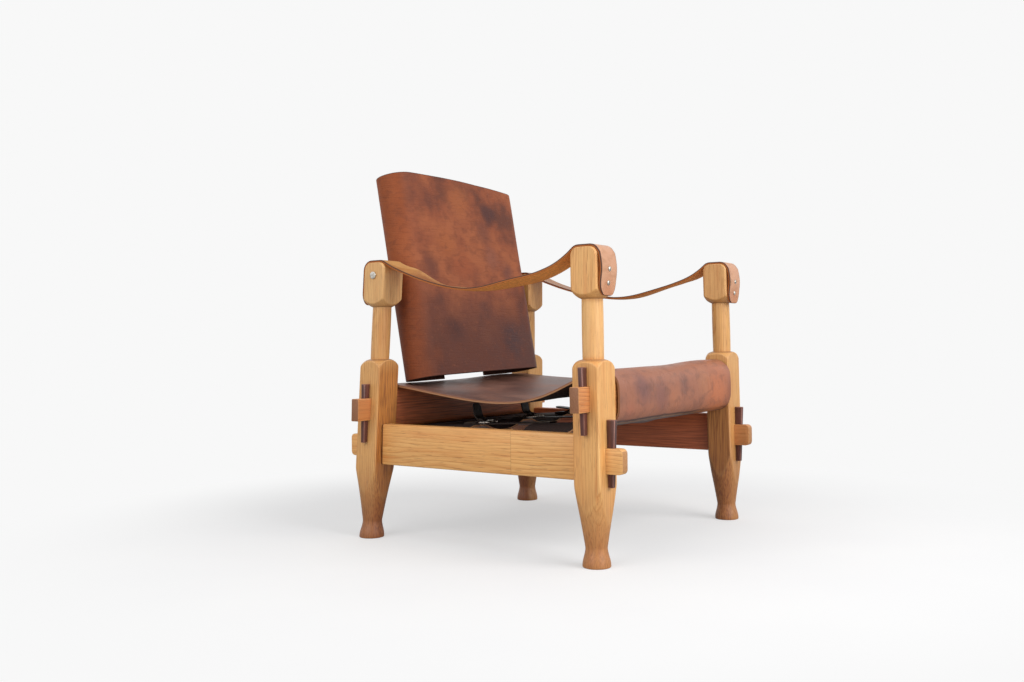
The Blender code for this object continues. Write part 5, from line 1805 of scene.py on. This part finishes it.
        return Shape(points, faces + index[:, 0, ::-1].tolist() + index[:, -1].tolist())

    def slot_cutter(self, start: float, end: float, top: float) -> Mesh:
        """A narrow block for the prong's slot, from one place along the belt to another."""
        shape = block((start, -self.slot_half, -0.001), (end, self.slot_half, top))
        return mesh_from("slot", shape.turned_by(self.place))

    def build(self, shop: Workshop, leather: HideFinish, metal: MetalFinish, thread: ThreadFinish) -> None:
        """Make the belt, chape, buckle, prong and both seams.

        Args:
            shop: Places the finished meshes.
            leather: Finish of belt and chape.
            metal: Finish of buckle and prong.
            thread: Finish of the stitches.
        """
        middle = (self.front_bar + self.rear_bar) / 2
        reach = (self.rear_bar - self.front_bar - self.bar) / 2 - FIT
        eye = self.prong_ring + self.prong_radius
        top = self.over_level + self.thickness
        hole = self.slot_cutter(middle - reach / 2, self.rear_bar - self.bar / 2, top)
        slot = self.slot_cutter(self.rear_bar - eye - 0.001, self.rear_bar + eye + FIT, self.over_level)
        half = self.gap / 2
        jobs = (
            ("belt", self.belt_middle(), self.thickness, hole, (-half, -half - self.lap), FIT + self.thickness),
            ("chape", self.chape_middle(), self.chape_thickness, slot,
             (half + 0.4 * self.chape_lap, half + self.chape_lap), 2 * (FIT + self.chape_thickness)),
        )
        for part, sheet, thickness, cutter, lap, face in jobs:
            name = self.name(part)
            shape = thick_sheet(sheet, thickness, BELT_BULGE, 0.0014).turned_by(self.place)
            mesh = bored(mesh_from(name, shape), [cutter])
            piece = shop.place("bridle_" + name, mesh, leather, "belt_leather", name, self.body)
            stitches = mesh_from("seam_" + name, self.seam(*lap, face).turned_by(self.place))
            sewn = shop.place("seam_" + name, stitches, thread, "belt_leather", None, self.body)
        for prefix, part, shape in (("round_bar_", "buckle", self.ring()), ("pin_", "prong", self.prong())):
            name = self.name(part)
            mesh = mesh_from(name, shape.turned_by(self.place))
            shop.place(prefix + name, mesh, metal, "nickel", name, self.body)


@dataclass(frozen=True)
class Fittings:
    """Pivot bolts, turned spacers and the straps' screws."""

    stand: Stand
    bolt_radius: float = 0.004
    bolt_head: float = 0.008
    bolt_rise: float = 0.0028
    bolt_in_stile: float = 0.03
    bolt_rim: float = 0.0011
    spacer_radius: float = 0.012
    spacer_waist: float = 0.0095
    screw_radius: float = 0.0016
    screw_length: float = 0.022
    screw_head: float = 0.0048
    screw_rise: float = 0.002

    def pivot(self, side: Side) -> Matrix:
        """Frame on the pivot's axis whose X axis points outwards."""
        turn = Matrix.Rotation(0.0 if side is Side.LEFT else math.pi, 4, "Z")
        return Matrix.Translation((0, self.stand.rear.y(PIVOT_HEIGHT), PIVOT_HEIGHT)) @ turn

    def bolt(self) -> Shape:
        """Shank and a flat round head with an eased rim."""
        rear = self.stand.rear
        tip = BACK_HALF_WIDTH - HIDE_THICKNESS - FIT - self.bolt_in_stile
        outer = rear.x(PIVOT_HEIGHT) + POST_WIDTH / 2 + FIT + rear.inward * self.bolt_head
        top = outer + self.bolt_rise
        rim = arc((self.bolt_head - self.bolt_rim, top - self.bolt_rim), self.bolt_rim, 0, 90, 7)
        return turned(np.array([
            (0.0012, tip), (self.bolt_radius, tip + 0.0015), (self.bolt_radius, outer),
            (self.bolt_head - 0.0004, outer), (self.bolt_head, outer + 0.0005), *rim,
            (0.0052, top + 0.0001), (0.0022, top + 0.00022), (0.0002, top + 0.00026),
        ]), 56)

    def spacer(self) -> Shape:
        """Spool: a ring whose outside follows a hollow between two rounded rims."""
        rear = self.stand.rear
        start = BACK_HALF_WIDTH + FIT
        end = rear.x(PIVOT_HEIGHT) - POST_WIDTH / 2 - FIT - rear.inward * self.spacer_radius
        t = np.linspace(0, 1, 25)
        hollow = self.spacer_waist + (self.spacer_radius - self.spacer_waist) * np.abs(2 * t - 1) ** 2.2
        hollow -= 0.0008 * bell(np.minimum(t, 1 - t), 0.0, 0.02)
        outside = np.column_stack([hollow, start + (end - start) * t])
        bore = self.bolt_radius + FIT
        return turned(np.concatenate([[[bore, start]], outside, [[bore, end]]]), ring=True)

    def screw(self) -> Shape:
        """Thin shank and a domed head, its underside at the strap's face."""
        through = HIDE_THICKNESS + 2 * FIT
        rise = np.linspace(0, 1, 12)[1:]
        head = np.column_stack([self.screw_head * np.sqrt(1 - (rise * 0.97) ** 2), self.screw_rise * rise])
        return turned(np.array([
            (0.0004, -self.screw_length - through), (self.screw_radius, -self.screw_length + 0.004 - through),
            (self.screw_radius, 0.0), (self.screw_head - 0.0002, 0.0), (self.screw_head, 0.0002), *head,
        ]), 40)

    def build(self, shop: Workshop, metal: MetalFinish) -> None:
        """Put bolts, spacers and screws in place.

        Args:
            shop: Places the finished meshes.
            metal: Finish of bolts and screws.
        """
        for side in Side:
            pith = (0.0, self.stand.rear.y(PIVOT_HEIGHT) + 0.03, 0.56)
            wood = OakFinish("oak_spacer_" + side.label, Grain.ALONG_X, pith)
            bolt = ("pivot_bolt_", self.bolt(), metal, "nickel", 35.0)
            spacer = ("pivot_spacer_", self.spacer(), wood, "oak", 50.0)
            for prefix, shape, finish, slot, sharp_deg in (bolt, spacer):
                name = prefix + side.label
                mesh = mesh_from(name, shape.turned_by(self.pivot(side)))
                shop.place("turned_" + name, mesh, finish, slot, name, sharp_deg=sharp_deg)
        for pair in self.stand.pairs:
            for side in Side:
                for number, (level, height) in enumerate(SCREW_HEIGHTS.items()):
                    name = "strap_screw_" + pair.name + "_" + side.label + "_" + level
                    place = self.screw_place(pair, side, height, 35.0 + 47.0 * number + 20.0 * side.value)
                    slot = block((0.001, -0.006, -0.0005), (0.005, 0.006, 0.0005)).turned_by(place)
                    blank = mesh_from(name, self.screw().turned_by(place))
                    mesh = bored(blank, [mesh_from("screw_slot", slot)])
                    shop.place("slotted_" + name, mesh, metal, "nickel", name, sharp_deg=35.0)

    def screw_place(self, pair: PostPair, side: Side, height: float, turn_deg: float) -> Matrix:
        """Frame on a strap's outer face whose X axis points outwards.

        Args:
            pair: Front or rear posts.
            side: Side of the chair.
            height: Height of the screw.
            turn_deg: Turn of its slot.

        Returns:
            The place, as a matrix.
        """
        off = float(tongue_bulge(height)) if pair.is_front else 0.0
        face = pair.y(height, pair.out * (POST_DEPTH / 2 + HIDE_THICKNESS + 2 * FIT + off))
        outward = Matrix.Rotation(math.radians(90.0 * pair.out), 4, "Z")
        turn = Matrix.Rotation(math.radians(turn_deg), 4, "X")
        return Matrix.Translation((side.value * pair.x(height), face, height)) @ outward @ turn


# Room and view


@dataclass(frozen=True)
class Studio:
    """Pale floor, soft lights and the camera at the photograph's angle."""

    lens: float = 35.81
    yaw: float = -0.961
    roll: float = -0.0117
    eye: Triple = (-1.9596, -1.2589, 0.4255)
    key_power: float = 85.0
    side_power: float = 43.0
    fill_power: float = 12.0
    sky: float = 0.6
    backdrop: Colour = (248, 248, 248)
    floor_half: float = 9.0
    aim: Triple = (0.0, 0.0, 0.35)

    def build(self) -> None:
        """Set up floor, world, lamps and camera."""
        self.floor()
        self.world()
        self.lamp("key_light", (-0.1, -2.9, 2.3), 2.4, self.key_power)
        self.lamp("side_light", (-3.0, 0.4, 2.0), 2.4, self.side_power)
        self.lamp("low_fill", (-0.9, -2.6, 0.45), 1.6, self.fill_power)
        self.camera()
        bpy.context.scene.view_settings.view_transform = "Standard"

    def floor(self) -> None:
        """A wide floor that keeps the chair's shadow and turns into the background further off."""
        half = self.floor_half
        mesh = bpy.data.meshes.new("floor")
        corners = [(-half, -half, 0.0), (half, -half, 0.0), (half, half, 0.0), (-half, half, 0.0)]
        mesh.from_pydata(corners, [], [[0, 1, 2, 3]])
        recipe = Recipe("pale_floor")
        grain = recipe.noise(recipe.position, 3.0, 2.0)
        shade = recipe.ramp(grain, [(0.3, (176, 176, 177)), (0.7, (179, 179, 179))])
        recipe.feed(recipe.shader, "Base Color", shade)
        recipe.feed(recipe.shader, "Roughness", 0.9)
        recipe.feed(recipe.shader, "Specular IOR Level", 0.1)
        seen = recipe.add("ShaderNodeLightPath").outputs["Is Camera Ray"]
        fade = recipe.between(recipe.vectors("LENGTH", recipe.position), 0.62, 1.3)
        white = linear(self.backdrop)
        glow = recipe.add("ShaderNodeEmission", {"Color": white})
        lift = recipe.add("ShaderNodeEmission", {"Color": white, "Strength": recipe.times(seen, 0.45)})
        lifted = recipe.add("ShaderNodeAddShader", (recipe.shader.outputs[0], lift.outputs[0]))
        shown = recipe.times(fade, seen)
        mix = recipe.add("ShaderNodeMixShader", (shown, lifted.outputs[0], glow.outputs[0]))
        recipe.feed(recipe.tree.nodes["Material Output"], 0, mix.outputs[0])
        mesh.materials.append(recipe.material)
        ground = put_in("floor", mesh)

    def world(self) -> None:
        """Even pale light, seen as white by the camera and in reflections."""
        world = bpy.data.worlds.new("studio")
        bpy.context.scene.world = world
        world.use_nodes = True
        wiring = Wiring(world.node_tree)
        rays = wiring.add("ShaderNodeLightPath").outputs
        mirrored = wiring.maths("MAXIMUM", rays["Is Glossy Ray"], rays["Is Transmission Ray"])
        seen = wiring.maths("MAXIMUM", rays["Is Camera Ray"], mirrored)
        level = wiring.add("ShaderNodeMapRange", {"Value": seen, "To Min": self.sky, "To Max": 1.0})
        back = world.node_tree.nodes["Background"]
        wiring.feed(back, "Strength", level.outputs[0])
        wiring.feed(back, "Color", linear(self.backdrop))

    def lamp(self, name: str, place: Triple, size: float, power: float) -> None:
        """A square soft light aimed at the middle of the chair.

        Args:
            name: Name of the lamp.
            place: Where it hangs.
            size: Length of its side.
            power: Its power in watts.
        """
        light = bpy.data.lights.new(name, "AREA")
        light.shape, light.size, light.energy = "SQUARE", size, power
        turn = (Vector(self.aim) - Vector(place)).to_track_quat("-Z", "Y")
        put_in(name, light).matrix_world = Matrix.Translation(place) @ turn.to_matrix().to_4x4()

    def camera(self) -> None:
        """Camera fitted to the feet, posts, rails and tenons of the photograph."""
        lens = bpy.data.cameras.new("photo_view")
        lens.lens, lens.sensor_width = self.lens, 36.0
        view = put_in("photo_view", lens)
        turns = ((self.yaw, "Z"), (math.pi / 2, "X"), (self.roll, "Z"))
        yaw, upright, roll = (Matrix.Rotation(angle, 4, axis) for angle, axis in turns)
        view.matrix_world = Matrix.Translation(self.eye) @ yaw @ upright @ roll
        bpy.context.scene.camera = view


# The leathers of this chair

SEAT_HIDE = HideFinish(
    # The seat's near-black flesh side is painted shade, seen only inside the loop under the seat.
    "seat_hide", deep=(78, 50, 43), middle=(102, 70, 60), warm=(122, 82, 66), flesh=(40, 27, 23),
    cut=(186, 138, 98), cut_grain=(140, 94, 66), gloss=0.52, shine=(0.39, 0.52), swirl=0.45,
    crease=(60.0, 220.0, 30.0), crease_mark=0.1,
    zones=(
        Zone("Y", 0.05, 0.26, (150, 104, 86), 0.55, 0.1),
        Zone("Y", -0.225, -0.268, (154, 96, 70), 0.94, 0.02),
        # Painted shadow: a dark line along the underside of the front roll.
        Zone("Z", 0.2718, 0.2698, (56, 31, 23), 0.92, 0.003, front_only=True),
        Zone("Z", 0.2668, 0.266, (190, 140, 98), 0.42, 0.0036, front_only=True),
        # Painted shade: the hide below the rails, under the seat, darker.
        Zone("Z", 0.2655, 0.2625, (74, 46, 36), 0.92, 0.002),
    ),
    stains=(
        Stain((-0.17, -0.31, 0.33), 0.05, (112, 72, 68), 0.85),
        Stain((-0.09, -0.31, 0.31), 0.04, (122, 76, 66), 0.8),
        Stain((0.02, -0.31, 0.33), 0.03, (112, 72, 62), 0.7),
        Stain((0.19, -0.31, 0.3), 0.095, (182, 104, 62), 0.85),
        Stain((0.262, -0.31, 0.31), 0.034, (128, 70, 44), 0.75),
        Stain((-0.268, -0.31, 0.31), 0.022, (112, 72, 58), 0.6),
        Stain((-0.03, -0.31, 0.3), 0.035, (170, 104, 68), 0.5),
        Stain((0.12, -0.31, 0.33), 0.05, (172, 112, 76), 0.5),
        Stain((-0.22, -0.31, 0.29), 0.028, (160, 92, 66), 0.6),
        Stain((0.1, -0.31, 0.29), 0.025, (130, 78, 56), 0.6),
    ),
)
BACK_HIDE = HideFinish(
    "back_hide", deep=(96, 54, 41), middle=(134, 74, 50), warm=(152, 88, 58), flesh=(60, 38, 30),
    cut=(112, 70, 48), cut_grain=(60, 36, 28), gloss=0.16, shine=(0.52, 0.66), crease=(24.0, 24.0, 420.0),
    crease_mark=0.14, cloud_scale=7.5, swirl=0.25,
    zones=(
        Zone("Z", 0.62, 0.43, (82, 51, 45), 0.86, 0.018),
        Zone("X", -0.185, -0.232, (146, 76, 40), 0.66, 0.02),
    ),
    stains=(
        Stain((0.086, 0.235, 0.737), 0.034, (74, 46, 44), 0.85),
        Stain((0.05, 0.225, 0.69), 0.045, (100, 60, 50), 0.6),
        Stain((-0.03, 0.24, 0.76), 0.055, (164, 96, 58), 0.55),
        Stain((-0.16, 0.24, 0.77), 0.05, (112, 62, 46), 0.6),
        Stain((-0.163, 0.21, 0.605), 0.045, (92, 54, 46), 0.75),
        Stain((-0.05, 0.21, 0.61), 0.055, (150, 80, 50), 0.5),
        Stain((-0.1, 0.22, 0.655), 0.055, (156, 88, 50), 0.45),
        Stain((0.135, 0.21, 0.6), 0.04, (98, 60, 54), 0.7),
        Stain((0.07, 0.21, 0.63), 0.045, (134, 82, 64), 0.7),
        Stain((-0.12, 0.18, 0.46), 0.04, (74, 46, 42), 0.8),
        Stain((0.0, 0.18, 0.44), 0.035, (106, 64, 50), 0.6),
        Stain((0.1, 0.18, 0.43), 0.05, (72, 50, 50), 0.8),
        Stain((-0.19, 0.18, 0.4), 0.03, (112, 60, 40), 0.6),
    ),
)
STRAP_HIDE = HideFinish(
    "strap_hide", deep=(142, 88, 47), middle=(169, 115, 62), warm=(190, 140, 83), flesh=(250, 168, 84),
    cut=(176, 98, 40), cut_grain=(72, 42, 30), crease=(14.0, 130.0, 14.0), crease_mark=0.12,
    zones=(Zone("Y", -0.235, -0.285, (200, 150, 120), 0.85, 0.012),),
    stains=tuple(Stain((side.value * 0.2985, -0.319, 0.512), 0.044, (176, 112, 74), 0.7) for side in Side),
)
BELT_HIDE = HideFinish(
    "belt_hide", deep=(28, 20, 18), middle=(40, 30, 26), warm=(66, 50, 42), flesh=(54, 40, 34),
    cut=(58, 44, 36), cut_grain=(26, 19, 17), crease=(60.0, 12.0, 60.0), crease_mark=0.2, cloud_scale=22.0,
)
STRAP_LIFTS = {
    Side.RIGHT: (
        EdgeLift(1, 0.0075, 0.19, 0.035), EdgeLift(1, -0.0055, 0.1, 0.035), EdgeLift(1, 0.0085, -0.09, 0.08),
        EdgeLift(-1, 0.0145, -0.105, 0.08),
    ),
    Side.LEFT: (
        EdgeLift(1, 0.01, 0.235, 0.03), EdgeLift(-1, 0.01, -0.13, 0.08), EdgeLift(1, 0.015, -0.14, 0.08),
    ),
}


def belt_sets(sling: SeatSling, back: LeatherBack) -> list[BeltSet]:
    """The three belts inside the seat's loop and the three behind the back.

    Args:
        sling: The seat's hide.
        back: The back's hide.

    Returns:
        The belts, each with its buckle.
    """
    middle, slope = sling.flap_line()
    up = toward(middle, HIDE_THICKNESS / 2, math.degrees(slope) + 90)
    turn = Matrix.Rotation(slope, 4, "X") @ Matrix.Rotation(math.pi / 2, 4, "Z")
    sets = []
    for level, x in (("right", -SEAT_BELT_X), ("centre", 0.0), ("left", SEAT_BELT_X)):
        place = Matrix.Translation((x, *up)) @ turn
        tail_turn, tail = (8.0, 0.0407) if level == "left" else (78.0, 0.026)
        sets.append(BeltSet(
            "seat", level, Body.FRAME.value, place, sling.flap_gap / math.cos(slope), True,
            tail_turn_deg=tail_turn, tail_length=tail,
        ))
    turn = Matrix.Rotation(-math.pi / 2, 4, "X")
    for level, height, droop in (("low", -0.193, -0.02), ("middle", -0.01, 0.0), ("high", 0.185, 0.0)):
        place = back.pivot @ Matrix.Translation((back.gap_shift, back.round_radius + back.ahead, height)) @ turn
        sets.append(BeltSet("back", level, Body.BACKREST.value, place, back.flap_gap, False, droop))
    return sets


def main() -> None:
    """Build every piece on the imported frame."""
    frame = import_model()
    stand = Stand.from_record(frame["record"])
    shop = Workshop(frame["nodes"])
    Studio().build()
    for pair in stand.pairs:
        for side in Side:
            lift = FRONT_LEFT_NECK_LIFT if pair.is_front and side is Side.LEFT else 0.0
            TurnedPost(pair, side, stand.skew, lift).build(shop)
    joinery = Joinery(shop)
    joinery.build_rails()
    joinery.build_wedges()
    joinery.build_back_frame()
    metal, thread = MetalFinish(), ThreadFinish()
    sling, back = SeatSling(stand), LeatherBack(stand)
    sling.build(shop, SEAT_HIDE)
    back.build(shop, BACK_HIDE)
    for side, lifts in STRAP_LIFTS.items():
        ArmStrap(stand, side, lifts).build(shop, STRAP_HIDE)
    for belts in belt_sets(sling, back):
        belts.build(shop, BELT_HIDE, metal, thread)
    Fittings(stand).build(shop, metal)


if __name__ == "__main__":
    logging.basicConfig(level=logging.INFO, format="%(message)s")
    main()
